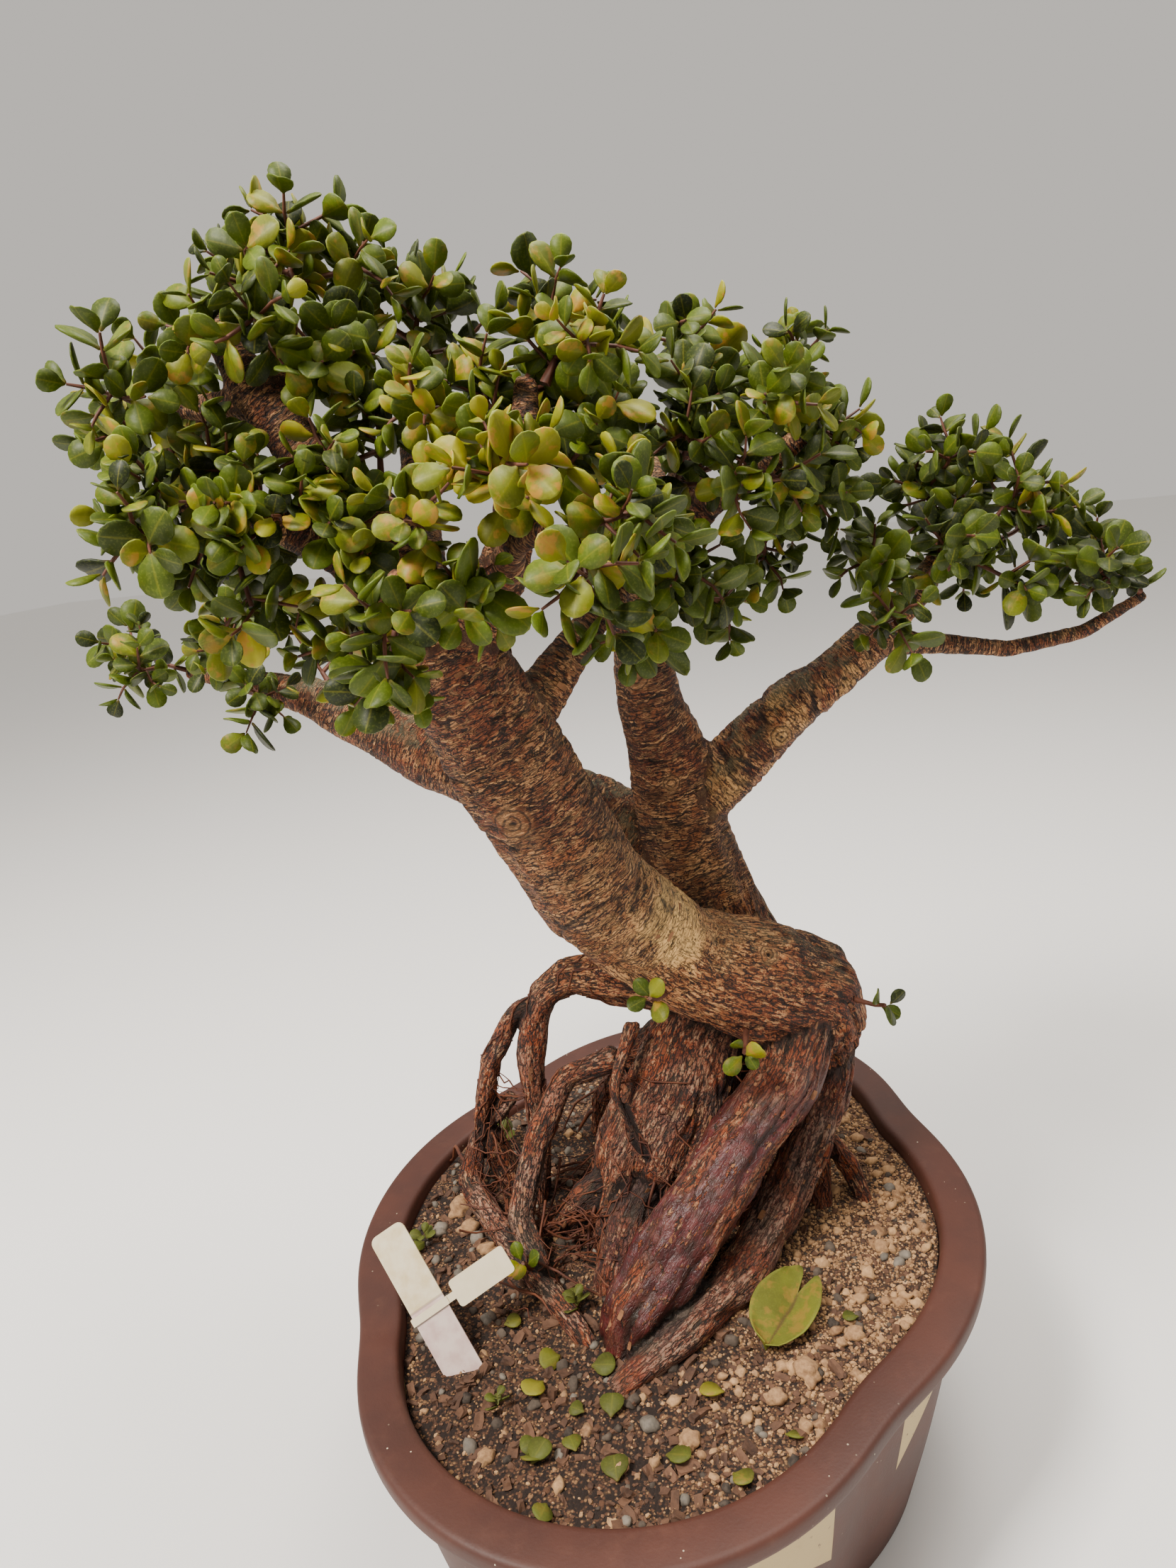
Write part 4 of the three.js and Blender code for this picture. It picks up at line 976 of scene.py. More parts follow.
class GrowWood(bpy.types.Operator):
    """Turns the solid of the trunk and roots into rounded wood with ringed, scaly and fibrous bark"""
    bl_idname = "bonsai.wood"
    bl_label = "Trunk and roots"

    def execute(self, context):
        settings = context.scene.bonsai_wood
        mesh = applied(
            mesh_of("trunk_bark", welded("trunk_and_roots")),
            ("REMESH", {"mode": "VOXEL", "voxel_size": settings.cell, "use_smooth_shade": True}),
            ("SMOOTH", {"factor": 0.6, "iterations": 18}),
        )
        count = len(mesh.vertices)
        places, normals = np.empty(count * 3), np.empty(count * 3)
        mesh.vertices.foreach_get("co", places)
        mesh.vertex_normals.foreach_get("vector", normals)
        places, normals = places.reshape(-1, 3), normals.reshape(-1, 3)
        stations = limb_stations()
        names = list({**LIMBS, **ROOTS})
        chosen, others, seams = nearest_stations(places, stations)
        unrolled = unrolled_places(places, stations, chosen)
        knots = []
        for place, radius, hollow in KNOTS:
            nearest = ((places - np.array(place) * MM) ** 2).sum(1).argmin()
            knots.append((Vector(places[nearest]), radius * MM, hollow))
        marks = {name: np.empty(count, np.float32) for name in (
            "rooted", "strand", "groove", "bloom", "sunny", "maroon", "ashen", "knot",
        )}
        moved = np.empty((count, 3))
        for i in range(count):
            place, normal, flat = Vector(places[i]), Vector(normals[i]), unrolled[i]
            station = stations[chosen[i]]
            radius, name = station[1], station[6]
            wobble = 14 * MM * noise.noise(place / (24 * MM))
            is_root = name in ROOTS
            root = smoothstep(0.318, 0.278, place.z + wobble) * (1.0 if is_root else 0.55)
            strand = max(float(is_root), smoothstep(0.365, 0.33, place.z + wobble))
            seam = math.exp(-(seams[i] / (2.6 * MM)) ** 2) * seam_share(name, names[others[i]], place.z)
            lumps = noise.noise(place / (28 * MM)) + 0.5 * noise.noise(place / (11 * MM))
            rings = stretched_noise(flat, 18 * MM, 3.2 * MM)
            crack = math.exp(-(stretched_noise(flat, 34 * MM, 13 * MM) / 0.05) ** 2)
            crease = math.exp(-(stretched_noise(flat, 70 * MM, 8 * MM) / 0.06) ** 2)
            fibres = stretched_noise(flat, 3.4 * MM, 28 * MM) + 0.8 * stretched_noise(flat, 8 * MM, 55 * MM)
            cleft = math.exp(-(stretched_noise(flat, 10 * MM, 60 * MM) / 0.07) ** 2)
            knot, swell, pit = 3.0, 0.0, 0.0
            for eye, size, hollow in knots:
                gap = (place - eye).length / size
                if gap < 2.5:
                    knot = gap
                    swell = math.exp(-(gap / 0.9) ** 2)
                    pit = hollow * math.exp(-(gap / 0.42) ** 2)
            stout = min(1.0, radius / (16 * MM))
            ringed = 0.55 * rings - 0.9 * crack - 0.5 * crease
            roped = 1.7 * fibres - 1.4 * cleft
            depth = stout * (1.6 * lumps + (1 - strand) * ringed) + (0.3 + 0.7 * stout) * strand * roped
            depth += 1.6 * swell - 3.4 * pit - 3.0 * seam
            moved[i] = place + normal * (depth * MM)
            marks["rooted"][i] = root
            marks["strand"][i] = strand
            marks["knot"][i] = knot
            # Painted shade for the crevice colour: the groove mark is darker in the troughs of the rings and
            # fibres, in pits, seams and clefts, and in a wider band round the roots' seams.
            shade = 0.25 * math.exp(-(seams[i] / (8 * MM)) ** 2) * is_root
            sunk = 0.7 * pit + 0.5 * seam + 0.3 * strand * cleft + shade
            marks["groove"][i] = 0.55 + 0.4 * ((1 - strand) * ringed + strand * 0.4 * fibres) - sunk
            upper = smoothstep(0.0, 0.8, normal.z)
            marks["bloom"][i] = upper * (0.1 if is_root else BLOOM.get(name, 0.35))
            marks["sunny"][i] = self.sunlight_and_tan_share(place, station, name)
            dry = smoothstep(-0.3, 0.25, noise.noise(place / (20 * MM) + Vector((5, 0, 0))))
            marks["ashen"][i] = dry * ASHEN.get(name, 0.1)
            bare = smoothstep(-0.4, -0.12, stretched_noise(flat, 13 * MM, 70 * MM) + 0.2 * lumps)
            marks["maroon"][i] = bare * MAROON.get(name, 0.0) * smoothstep(0.275, 0.24, place.z)
        mesh.vertices.foreach_set("co", moved.ravel())
        for name, values in marks.items():
            mesh.attributes.new(name, "FLOAT", "POINT").data.foreach_set("value", values)
        flat_places = mesh.attributes.new("limb", "FLOAT_VECTOR", "POINT")
        flat_places.data.foreach_set("vector", unrolled.astype(np.float32).ravel())
        self.add_flakes(mesh, stations, chosen)
        mesh = applied(mesh, ("DECIMATE", {"ratio": 0.42}))
        add_piece("trunk_bark", mesh, bark_material(settings), ["trunk_and_roots"])
        self.add_fibres(mesh, stations)
        return {"FINISHED"}

    def sunlight_and_tan_share(self, place, station, name):
        """Share of painted sunlight and tan skin: a painted pool of sunlight on the bend, with a soft
        painted glow round it that reaches the nearby limbs and roots, and worn tan patches on the right
        branch.
        """
        offset = place - PAINTED_SUN_PLACE
        along = abs(offset.dot(station[2]))
        beside = (offset - station[2] * offset.dot(station[2])).length
        ragged = 5 * MM * noise.noise(place / (7 * MM))
        share = smoothstep(PAINTED_SUN_REACH, PAINTED_SUN_REACH - 8 * MM, along + ragged)
        share *= smoothstep(1.6 * PAINTED_SUN_REACH, 1.6 * PAINTED_SUN_REACH - 8 * MM, beside + ragged)
        if name == "right_branch":
            return 0.5 * smoothstep(0.1, 0.3, noise.noise(place / (15 * MM)))
        glow = 0.42 * math.exp(-(offset.length / (60 * MM)) ** 2)
        return max(glow, share) if name == "main_trunk" else glow * 0.6

    def add_flakes(self, mesh, stations, chosen):
        """Thin scales of bark that have lifted: round the trunk above, and along the bend and the roots."""
        rng = random.Random(33)
        flake = bmesh.new()
        bmesh.ops.create_cube(flake, size=1.0)
        long_edges = [e for e in flake.edges if abs(e.verts[0].co.y - e.verts[1].co.y) > 0.5]
        bmesh.ops.subdivide_edges(flake, edges=long_edges, cuts=2)
        for vert in flake.verts:
            vert.co.x *= 1 - 1.1 * vert.co.y ** 2 * (1 if vert.co.y > 0 else 0.5)
            vert.co.z = vert.co.z * 0.16 + 0.5 * (vert.co.y + 0.5) ** 2
        placements = []
        while len(placements) < FLAKES:
            vert = mesh.vertices[rng.randrange(len(mesh.vertices))]
            station = stations[chosen[vert.index]]
            if station[1] < 7 * MM or vert.co.z < SOIL_LEVEL + 4 * MM:
                continue
            rooty = station[6] in ROOTS or vert.co.z < 0.345
            way = station[2] * rng.choice((1, -1)) if rooty else station[2].cross(vert.normal)
            face = vert.normal + Vector([rng.gauss(0, 0.22) for _ in range(3)])
            long = rng.uniform(1.8, 5.5) * MM
            size = Matrix.Diagonal((long * rng.uniform(0.3, 0.6), long, long * rng.uniform(0.1, 0.35), 1))
            placements.append(set_leaf(vert.co - vert.normal * 0.2 * MM, way, face, 1.0) @ size)
        tints = [rng.random() for _ in placements]
        # Papery bark: thin dry scales, tan where they are fresh.
        papery = natural("papery_bark", linear("#4c2a18"), linear("#9a6a44"), 5 * MM, 0.8, 0.3 * MM)
        template = mesh_of("flake", flake, smooth=False)
        add_piece("bark_flakes", copies("bark_flakes", template, placements, tints), papery)

    def add_fibres(self, mesh, stations):
        """Fine hair roots that cling to the roots, and some that hang between them."""
        rng = random.Random(21)
        bm = bmesh.new()
        bm.from_mesh(mesh)
        skin = BVHTree.FromBMesh(bm)
        bm.free()
        smooth_roots = ("maroon_root", "long_right_root")
        low = [
            k for k, station in enumerate(stations)
            if station[6] in ROOTS and station[6] not in smooth_roots and station[0].z > SOIL_LEVEL
        ]
        lines = []
        for _ in range(CLINGING_HAIRS):
            k = rng.choice(low)
            angle, drift = rng.uniform(0, 2 * math.pi), rng.uniform(-0.25, 0.25)
            thick = rng.uniform(0.25, 0.7) * MM
            line = []
            for step in range(rng.randint(7, 16)):
                here = stations[min(k + step, len(stations) - 1)]
                if here[6] != stations[k][6] or here[0].z < SOIL_LEVEL:
                    break
                angle += drift + rng.gauss(0, 0.16)
                beside = here[2].cross(here[3])
                out = here[3] * math.cos(angle) + beside * math.sin(angle)
                spot, normal, _, _ = skin.find_nearest(here[0] + out * (here[1] * 1.15))
                line.append((spot + normal * thick * 0.6, thick))
            if len(line) > 3:
                lines.append(line)
        ends = [line[0][0] for line in lines if line[0][0].z < HAIRS_BELOW and line[0][0].x < 50 * MM]
        for _ in range(SLUNG_HAIRS):
            start = rng.choice(ends)
            near = [end for end in ends if 14 * MM < (end - start).length < 52 * MM]
            if not near:
                continue
            end = rng.choice(near)
            thick = rng.uniform(0.25, 0.65) * MM
            sag = (end - start).length * rng.uniform(0.02, 0.16)
            line = []
            for step in range(9):
                t = step / 8
                shake = Vector([rng.gauss(0, 1.1 * MM) for _ in range(3)]) * min(1, 4 * t * (1 - t))
                line.append((start.lerp(end, t) + shake - Vector((0, 0, 4 * sag * t * (1 - t))), thick))
            lines.append(line)
        middles = [stations[k][0] for k in low]
        high = [at for at in middles if ROOTLETS_ABOVE < at.z < HAIRS_BELOW and at.x < 30 * MM]
        for _ in range(ROOTLETS):
            start = rng.choice(high)
            away = Vector((rng.uniform(-1, 0.15), rng.uniform(-0.7, 0.6), 0)).normalized()
            away *= rng.uniform(14, 46) * MM
            foot = start + away
            foot.z = soil_height(foot.x, foot.y) - 2 * MM
            thick = rng.uniform(0.7, 1.7) * MM
            line = []
            for step in range(12):
                t = step / 11
                out = away * (t ** 0.55)
                place = Vector((start.x + out.x, start.y + out.y, start.z + (foot.z - start.z) * t ** 1.4))
                swing = math.sin(math.pi * t)
                place += swing * 7 * MM * noise.noise_vector(place / (22 * MM))
                line.append((place, thick * (1 - 0.4 * t)))
            lines.append(line)
        for _ in range(TANGLED_HAIRS):
            middle = TANGLE + Vector((rng.gauss(0, 24), rng.gauss(0, 24), 0)) * MM
            middle.z = soil_height(middle.x, middle.y) + rng.uniform(1, 16) * MM
            turn = rng.uniform(0, 2 * math.pi)
            reach = Vector((math.cos(turn), math.sin(turn), rng.gauss(-0.1, 0.3))) * rng.uniform(8, 24) * MM
            thick = rng.uniform(0.35, 1.1) * MM
            line = []
            for step in range(8):
                place = middle + reach * (step / 3.5 - 1)
                place += 5 * MM * noise.noise_vector(place / (16 * MM))
                line.append((place, thick * (1 - 0.07 * step)))
            lines.append(line)
        # Hair roots: thin, dry and orange-brown.
        fibre = natural("hair_roots", linear("#3c170a"), linear("#8c4e28"), 12 * MM, 0.7, 0.3 * MM)
        add_piece("hair_roots", tube_mesh("hair_roots", lines, 0), fibre)


def tube_mesh(name, lines, resolution):
    """Round tubes along lines of (place, radius), as one mesh."""
    curve = bpy.data.curves.new(name, "CURVE")
    curve.dimensions = "3D"
    curve.bevel_depth = 1.0
    curve.bevel_resolution = resolution
    curve.use_fill_caps = True
    for line in lines:
        spline = curve.splines.new("POLY")
        spline.points.add(len(line) - 1)
        spline.use_smooth = True
        for point, (place, radius) in zip(spline.points, line):
            point.co = (*place, 1)
            point.radius = radius
    mesh = evaluated(bpy.data.objects.new(name, curve))
    bpy.data.curves.remove(curve)
    mesh.name = name
    return mesh


def leaf_template(cup, droop):
    """A fleshy leaf of unit length along Y: a narrow wedge foot, broadest beyond its middle, a round tip."""
    bm = bmesh.new()
    bmesh.ops.create_uvsphere(bm, u_segments=6, v_segments=8, radius=1.0)
    bmesh.ops.rotate(bm, verts=bm.verts, cent=(0, 0, 0), matrix=Matrix.Rotation(-math.pi / 2, 3, "X"))
    layer = bm.loops.layers.uv.new("leaf")
    spots = {}
    for vert in bm.verts:
        along = min(1.0, max(0.0, (vert.co.y + 1) / 2))
        pole = along < 0.001 or along > 0.999
        turn = math.atan2(vert.co.z, vert.co.x)
        wedge = math.sin(math.pi * along ** 1.9) ** 0.62 if not pole else 0
        disc = math.sqrt(max(0.0, 1 - ((along - 0.57) / 0.43) ** 2))
        fullness = 0.4 * wedge + 0.6 * disc
        half_width = 0.42 * fullness + 0.045 * (1 - along)
        half_thick = 0.045 * fullness ** 0.6 + 0.035 * (1 - along)
        side = 0 if pole else math.cos(turn)
        rise = 0 if pole else math.sin(turn)
        spots[vert] = (0.5 + 0.5 * side, along)
        lift = cup * side * side * fullness - droop * along ** 2
        vert.co = (side * half_width, along, rise * half_thick + lift)
    for face in bm.faces:
        for loop in face.loops:
            loop[layer].uv = spots[loop.vert]
    bmesh.ops.recalc_face_normals(bm, faces=bm.faces)
    return mesh_of("leaf", bm)


def linked(start, members):
    """The vertices that edges join to the first one, among the members. They leave the members."""
    group, front = [], [start]
    members.discard(start)
    while front:
        spot = front.pop()
        group.append(spot)
        for edge in spot.link_edges:
            other = edge.other_vert(spot)
            if other in members:
                members.discard(other)
                front.append(other)
    return group


def read_spray(node):
    """A spray's solid read back: its stem's rings (centre, radius) and its leaves (foot, tip, width)."""
    stem_edge, ring_edge = 4.6 * MM, 3 * MM
    bm = welded(node)
    stem = {v for v in bm.verts if any(e.calc_length() < stem_edge for e in v.link_edges)}
    blades = {v for v in bm.verts if v not in stem}
    leaves = []
    while blades:
        group = linked(next(v for v in bm.verts if v in blades), blades)
        joined = [sum(e.other_vert(v) in group for e in v.link_edges) for v in group]
        tip = group[joined.index(max(joined))]
        feet = [e.other_vert(tip).co for e in tip.link_edges if e.other_vert(tip) in stem]
        if feet:
            sides = [v.co for v in group if v is not tip][:2]
            width = sides[1] - sides[0] if len(sides) == 2 else Vector((1, 0, 0))
            leaves.append((sum(feet, Vector()) / len(feet), tip.co.copy(), width))
    for edge in [e for e in bm.edges if e.calc_length() >= ring_edge]:
        bm.edges.remove(edge)
    rings = []
    while stem:
        group = [v.co.copy() for v in linked(next(v for v in bm.verts if v in stem), stem)]
        if len(group) >= 5:
            centre = sum(group, Vector()) / len(group)
            rings.append((centre, sum((co - centre).length for co in group) / len(group)))
    bm.free()
    return rings, leaves


def twig_links(rings):
    """The shortest tree that joins the rings, as pairs of their numbers."""
    joined, links = [0], []
    while len(joined) < len(rings):
        pairs = [(a, b) for a in joined for b in range(len(rings)) if b not in joined]
        a, b = min(pairs, key=lambda pair: (rings[pair[0]][0] - rings[pair[1]][0]).length)
        joined.append(b)
        links.append((a, b))
    return links


def set_leaf(foot, way, face, size):
    """Places the unit leaf: its foot at foot, pointing along way, its upper side towards face."""
    along = way.normalized()
    across = along.cross(face).normalized()
    up = across.cross(along)
    turn = Matrix((across, along, up)).transposed().to_4x4()
    return Matrix.Translation(foot) @ turn @ Matrix.Scale(size, 4)


def leaf_pair(rng, place, stem_way, side, size, lean):
    """Two leaves that face each other across a stem, and lean towards its tip."""
    made = []
    for sign in (1, -1):
        out = side * sign
        out.rotate(Matrix.Rotation(rng.gauss(0, 0.22), 3, stem_way))
        way = out * math.cos(lean + rng.gauss(0, 0.15)) + stem_way * math.sin(lean)
        tilt = Vector([rng.gauss(0, 0.3) for _ in range(3)])
        face = stem_way * math.cos(lean) - out * math.sin(lean) + tilt
        grown = size * rng.uniform(0.84, 1.12)
        made.append((place + out * 0.8 * MM, way.normalized(), face, grown))
    return made


def side_of(way, hint):
    side = hint - way * hint.dot(way)
    return side.normalized() if side.length > 1e-4 else way.orthogonal().normalized()


def short_shoot(rng, foot, tip, width):
    """A short shoot in place of one leaf of the solid, as long, with its leaves in crossed pairs."""
    way, reach = (tip - foot).normalized(), (tip - foot).length
    first = side_of(way, width)
    second = first.cross(way)
    bend = Vector([rng.gauss(0, 0.9 * MM) for _ in range(3)])
    middle, end = foot + way * reach * 0.46 + bend, foot + way * reach * 0.74
    made = leaf_pair(rng, foot + way * reach * 0.17, way, second, reach * 0.6, 0.45)
    made += leaf_pair(rng, middle, way, first, reach * 0.62, 0.5)
    made += leaf_pair(rng, end, way, second, reach * 0.5, 0.85)
    return made, [(foot, 0.95 * MM), (middle, 0.85 * MM), (end, 0.6 * MM)]


def cover(limb, start, count):
    """Short shoots along the open side of a bough, from one part of its length to its tip."""
    rng = random.Random(61)
    stations = [station for station in limb_stations() if station[6] == limb]
    made, lines = [], []
    for _ in range(count):
        here, radius, way = stations[int(rng.uniform(start, 1) * (len(stations) - 1))][:3]
        out = side_of(way, Vector((rng.gauss(0.5, 0.6), rng.gauss(-0.8, 0.6), rng.gauss(0.1, 0.6))))
        foot = here + out * radius * 0.9
        tip = foot + (out + way * 0.3) * rng.uniform(20, 30) * MM
        grown, line = short_shoot(rng, foot, tip, way)
        made += grown
        lines.append(line)
    return made, lines


class GrowFoliage(bpy.types.Operator):
    """Grows the leafy sprays and sprouts: red-brown twigs with fleshy leaves in opposite pairs"""
    bl_idname = "bonsai.foliage"
    bl_label = "Foliage"

    def execute(self, context):
        settings = context.scene.bonsai_leaf
        leaf = leaf_material(settings)
        # Young wood: thin smooth skin, red-brown clouded with a paler brown.
        twig = natural("young_wood", settings.twig, linear("#7d4a33"), 5 * MM, 0.65, 0.4 * MM)
        templates = [leaf_template(0.08, 0.05), leaf_template(0.03, 0.14), leaf_template(0.12, -0.03)]
        wood = BVHTree.FromBMesh(welded("trunk_and_roots"))
        for number, node in enumerate(SPRAYS + SPROUTS):
            rng = random.Random(100 + number)
            rings, leaves = read_spray(node)
            links = twig_links(rings)
            lines = [[(rings[a][0], rings[a][1] * 0.8), (rings[b][0], rings[b][1] * 0.8)] for a, b in links]
            made = []
            is_sprout = node in SPROUTS
            for foot, tip, width in leaves:
                way = tip - foot
                if is_sprout:
                    face = way.cross(width)
                    made.append((foot, way.normalized(), face if face.z > 0 else -face, way.length))
                elif rng.random() < 0.1:
                    face = way.cross(width)
                    made.append((foot, way.normalized(), face if face.z > 0 else -face, way.length * 0.86))
                    side = side_of(way.normalized(), face)
                    made += leaf_pair(rng, foot, way.normalized(), side, 14 * MM, 0.5)
                else:
                    grown, line = short_shoot(rng, foot, tip, width)
                    made += grown
                    lines.append(line)
            for a, b in links if not is_sprout else []:
                start, end = rings[a][0], rings[b][0]
                way, gap = (end - start).normalized(), (end - start).length
                for k in range(round(gap / (11 * MM))):
                    place = start + way * rng.uniform(0.15, 0.85) * gap
                    side = side_of(way, Vector([rng.gauss(0, 1) for _ in range(3)]))
                    made += leaf_pair(rng, place, way, side, rng.uniform(12, 19) * MM, 0.5)
            if node in COVERED_BOUGHS:
                grown, shoots = cover(*COVERED_BOUGHS[node])
                made += grown
                lines += shoots
            groups = [[], [], []]
            for foot, way, face, size in made:
                centre = foot + way * 0.6 * size
                if not is_sprout and wood.find_nearest(centre)[3] < 5 * MM:
                    continue
                # Painted light and shade in the leaf tint: lighter and yellower towards the front and the
                # top of the crown, darker lower down; noise and the ripe part of the crown vary it, and
                # sprouts get a fixed lift instead of the height.
                light_and_ripeness = 0.22 * noise.noise(centre / (45 * MM)) - 0.4 * min(0.25, centre.y)
                ripe = (centre - RIPE_PLACE).length / RIPE_REACH
                light_and_ripeness += 0.3 * math.exp(-ripe ** 2) + (0.12 if is_sprout else 0.5 * (centre.z - 0.6))
                group = groups[rng.randrange(3)]
                group.append((set_leaf(foot, way, face, size), 0.36 + light_and_ripeness + rng.gauss(0, 0.19)))
            bm = bmesh.new()
            for template, group in zip(templates, groups):
                if group:
                    tints = [min(1.0, max(0.0, tint)) for _, tint in group]
                    part = copies("leaves", template, [matrix for matrix, _ in group], tints)
                    bm.from_mesh(part)
                    bpy.data.meshes.remove(part)
            add_piece(f"{node}_leaves", mesh_of(f"{node}_leaves", bm), leaf, [node])
            add_piece(f"{node}_twigs", tube_mesh(f"{node}_twigs", lines, 0), twig)
        self.scatter(context, leaf, templates)
        return {"FINISHED"}

    def scatter(self, context, leaf, templates):
        """Fallen leaves, seedlings and one large dry leaf on the soil."""
        rng = random.Random(5)
        placements, tints = [], []
        for x, y in FALLEN_LEAVES + YELLOW_LEAVES:
            place = Vector((x * MM, y * MM, 0))
            place.z = soil_height(place.x, place.y) + 2.4 * MM
            turn = rng.uniform(0, 2 * math.pi)
            way = Vector((math.cos(turn), math.sin(turn), rng.uniform(-0.1, 0.2))).normalized()
            face = Vector((rng.gauss(0, 0.25), rng.gauss(0, 0.25), 1))
            broad = Matrix.Diagonal((1.2, 0.9, 1, 1))
            placements.append(set_leaf(place, way, face, rng.uniform(9, 15) * MM) @ broad)
            tints.append(1.0 if (x, y) in YELLOW_LEAVES else rng.uniform(0.3, 0.7))
        for x, y, long in SEEDLINGS:
            place = Vector((x * MM, y * MM, soil_height(x * MM, y * MM) + 1 * MM))
            way = Vector((rng.gauss(0, 0.2), rng.gauss(0, 0.2), 1)).normalized()
            for level in range(3):
                side = side_of(way, Vector((1, 0, 0)) if level % 2 else Vector((0, 1, 0)))
                node = place + way * (0.2 + 0.3 * level) * long * MM
                pair = leaf_pair(rng, node, way, side, (1 - 0.14 * level) * long * MM, 0.4)
                placements += [set_leaf(*grown) for grown in pair]
                tints += [rng.uniform(0.25, 0.5)] * len(pair)
        fallen = leaf_material(context.scene.bonsai_leaf, "fallen_jade_leaf", 0.6, fade=0.45)
        add_piece("fallen_leaves", copies("fallen_leaves", templates[2], placements, tints), fallen)
        blade = bmesh.new()
        bmesh.ops.create_grid(blade, x_segments=16, y_segments=16, size=1.0)
        way = DRY_LEAF_NOTCH - DRY_LEAF_FOOT
        size = way.length
        way.normalize()
        beside = Vector((way.y, -way.x, 0))
        layer = blade.loops.layers.uv.new("leaf")
        spots = {}
        for vert in blade.verts:
            side, along = vert.co.x, (vert.co.y + 1) / 2
            lobe = 0.75 * math.sin(math.pi * abs(side)) * (1.2 if side < 0 else 0.8)
            notch = math.exp(-(side / 0.22) ** 2) - lobe
            lobed = along - 0.2 * notch * along ** 3
            half = (0.4 if side < 0 else 0.34) * math.sin(math.pi * 0.82 * along ** 0.8) ** 0.8
            spot = DRY_LEAF_FOOT + (way * lobed + beside * side * half) * size
            fold = (0.1 * abs(side) + 0.025 * math.sin(7 * along + 4 * side) + 0.05 * along ** 2) * size
            spots[vert] = (0.5 + 0.5 * side, 0.3 + 0.7 * along)
            vert.co = (spot.x, spot.y, soil_height(spot.x, spot.y) + 4 * MM + fold)
        for face in blade.faces:
            for loop in face.loops:
                loop[layer].uv = spots[loop.vert]
        dry = mesh_of("dry_leaf", blade)
        dry.attributes.new("tint", "FLOAT", "POINT").data.foreach_set("value", [0.64] * len(dry.vertices))
        dry = applied(dry, ("SOLIDIFY", {"thickness": 0.5 * MM}))
        dried = leaf_material(context.scene.bonsai_leaf, "dried_leaf", 0.8, 0.5, 0.4, ("#4a2f15", 0.9))
        add_piece("dry_leaf", dry, dried)


class FinishTag(bpy.types.Operator):
    """Gives the bare plant tag and its bare label their plastic and paper"""
    bl_idname = "bonsai.tag"
    bl_label = "Plant tag"

    def execute(self, context):
        settings = context.scene.bonsai_tag
        plastic = stake_material(settings)
        # Label paper: cream and matt, with faint clouds.
        paper = natural("label_paper", settings.paper, linear("#d8c9a2"), 8 * MM, 0.75, 0.1 * MM)
        for node, material in (("plant_tag", plastic), ("tag_label", paper)):
            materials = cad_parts[node].data.materials
            materials.clear()
            materials.append(material)
        return {"FINISHED"}


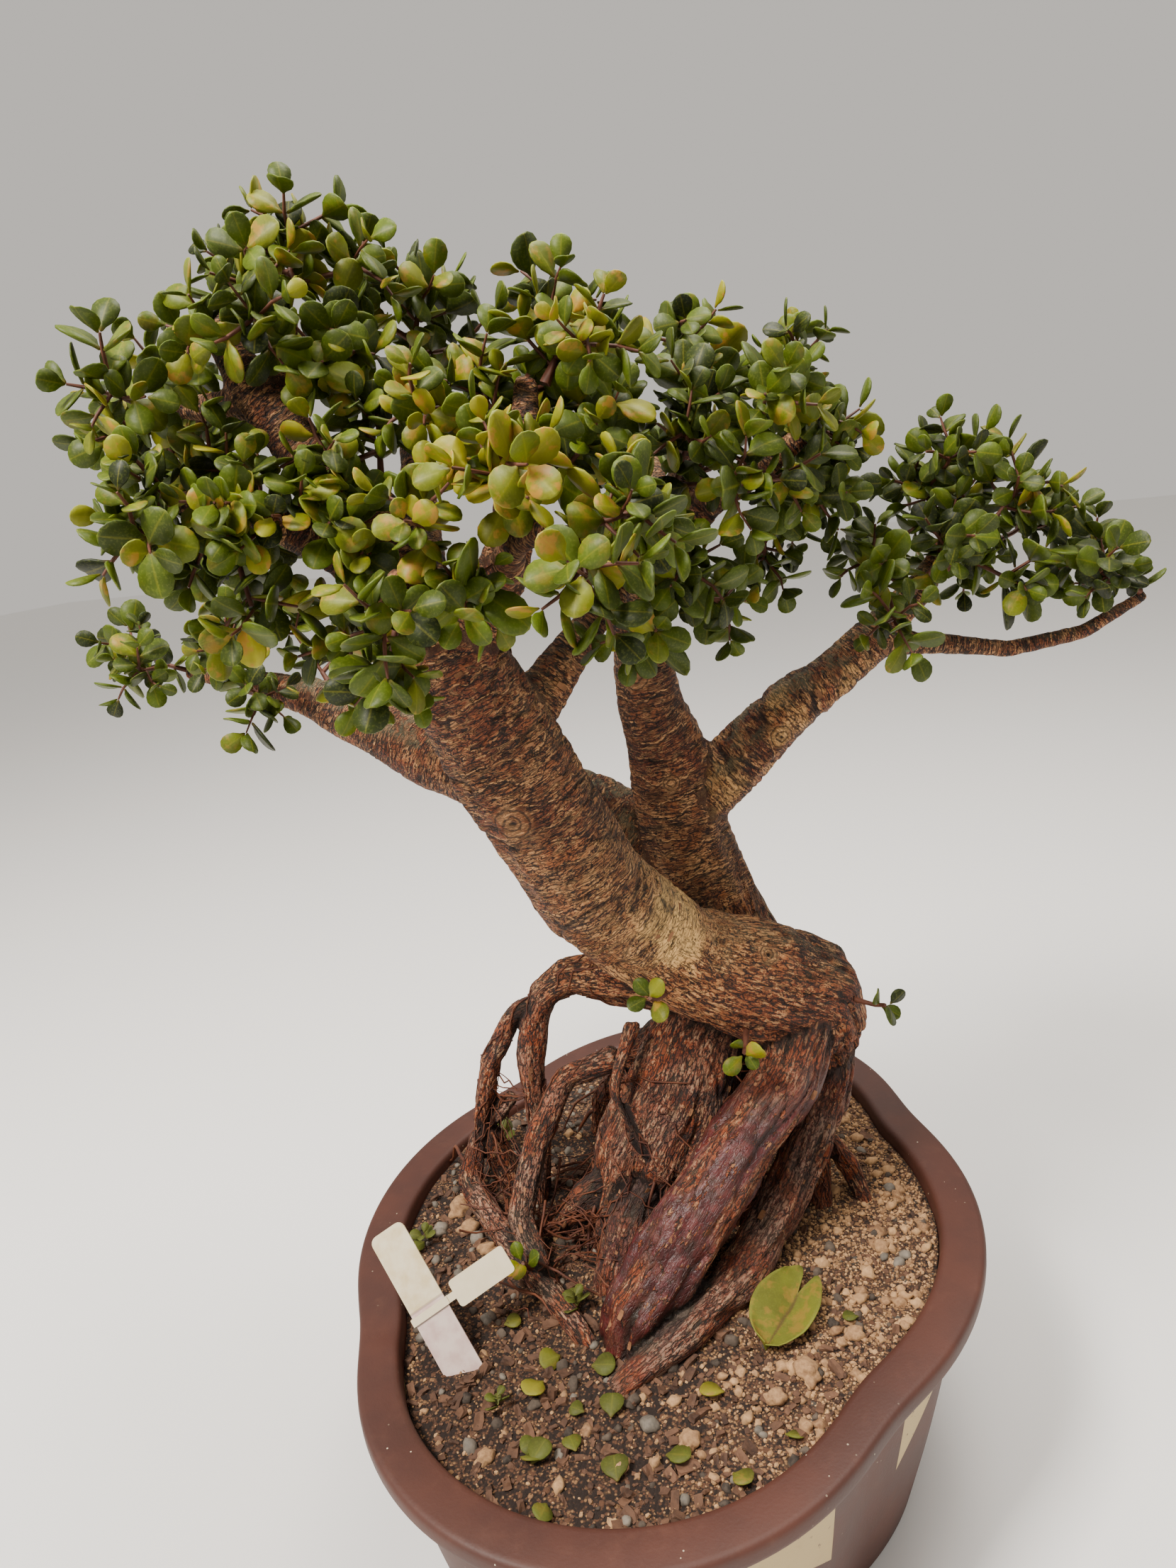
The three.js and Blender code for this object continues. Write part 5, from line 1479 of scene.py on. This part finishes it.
class SetStage(bpy.types.Operator):
    """Sets the pale floor, the soft lights and the camera"""
    bl_idname = "bonsai.stage"
    bl_label = "Stage"

    def execute(self, context):
        settings = context.scene.bonsai_stage
        # Painted board: pale, quite matt, so that it only shows shadows.
        material = Look("pale_floor").finish(settings.floor, 0.9)
        bm = bmesh.new()
        bmesh.ops.create_grid(bm, x_segments=1, y_segments=1, size=8.0)
        floor = bpy.data.objects.new("floor", mesh_of("floor", bm, False))
        floor.data.materials.append(material)
        context.scene.collection.objects.link(floor)
        world = bpy.data.worlds.new("soft_sky")
        world.use_nodes = True
        world.node_tree.nodes["Background"].inputs[0].default_value = linear("#f9f3eb")
        world.node_tree.nodes["Background"].inputs[1].default_value = 0.68
        context.scene.world = world
        middle = Vector((0, 0, 0.4))
        lights = [("key_light", (-0.6, -1.0, 1.9), 0.5, 72), ("top_light", (0.3, 0.4, 2.1), 0.9, 44)]
        for name, place, size, power in lights:
            light = bpy.data.lights.new(name, "AREA")
            light.size = size
            light.energy = power
            light.color = (1.0, 0.94, 0.87)
            lamp = bpy.data.objects.new(name, light)
            lamp.location = place
            lamp.rotation_euler = (middle - Vector(place)).to_track_quat("-Z", "Y").to_euler()
            context.scene.collection.objects.link(lamp)
        camera_data = bpy.data.cameras.new("camera")
        camera_data.lens = settings.lens
        camera_data.sensor_width = 36
        camera = bpy.data.objects.new("camera", camera_data)
        azimuth, dip, roll = CAMERA_TURNS
        right = Vector((math.cos(azimuth), math.sin(azimuth), 0))
        ahead = Vector((-math.sin(azimuth), math.cos(azimuth), 0))
        up = Vector((0, 0, 1))
        look = ahead * math.cos(dip) - up * math.sin(dip)
        down = -ahead * math.sin(dip) - up * math.cos(dip)
        image_right = right * math.cos(roll) + down * math.sin(roll)
        image_down = down * math.cos(roll) - right * math.sin(roll)
        turn = Matrix((image_right, -image_down, -look)).transposed().to_4x4()
        camera.matrix_world = Matrix.Translation(CAMERA_PLACE) @ turn
        context.scene.collection.objects.link(camera)
        context.scene.camera = camera
        return {"FINISHED"}


class BonsaiPanel(bpy.types.Panel):
    """Lists the pieces of the bonsai"""
    bl_idname = "VIEW3D_PT_bonsai"
    bl_label = "Dwarf jade bonsai"
    bl_space_type = "VIEW_3D"
    bl_region_type = "UI"
    bl_category = "Bonsai"

    def draw(self, context):
        for operator in OPERATORS:
            self.layout.operator(operator.bl_idname)


SETTINGS = {
    "bonsai_pot": PotSettings, "bonsai_wood": WoodSettings, "bonsai_leaf": LeafSettings,
    "bonsai_soil": SoilSettings, "bonsai_tag": TagSettings, "bonsai_stage": StageSettings,
}
OPERATORS = [SetStage, MakePot, MakeSoil, GrowWood, GrowFoliage, FinishTag]


def register():
    for group in SETTINGS.values():
        bpy.utils.register_class(group)
    for name, group in SETTINGS.items():
        setattr(bpy.types.Scene, name, PointerProperty(type=group))
    for operator in OPERATORS + [BonsaiPanel]:
        bpy.utils.register_class(operator)


def unregister():
    for operator in reversed(OPERATORS + [BonsaiPanel]):
        bpy.utils.unregister_class(operator)
    for name, group in SETTINGS.items():
        delattr(bpy.types.Scene, name)
        bpy.utils.unregister_class(group)


def main():
    register()
    bpy.ops.bonsai.stage()
    bpy.ops.bonsai.pot()
    bpy.ops.bonsai.soil()
    bpy.ops.bonsai.wood()
    bpy.ops.bonsai.foliage()
    bpy.ops.bonsai.tag()


if __name__ == "__main__":
    main()
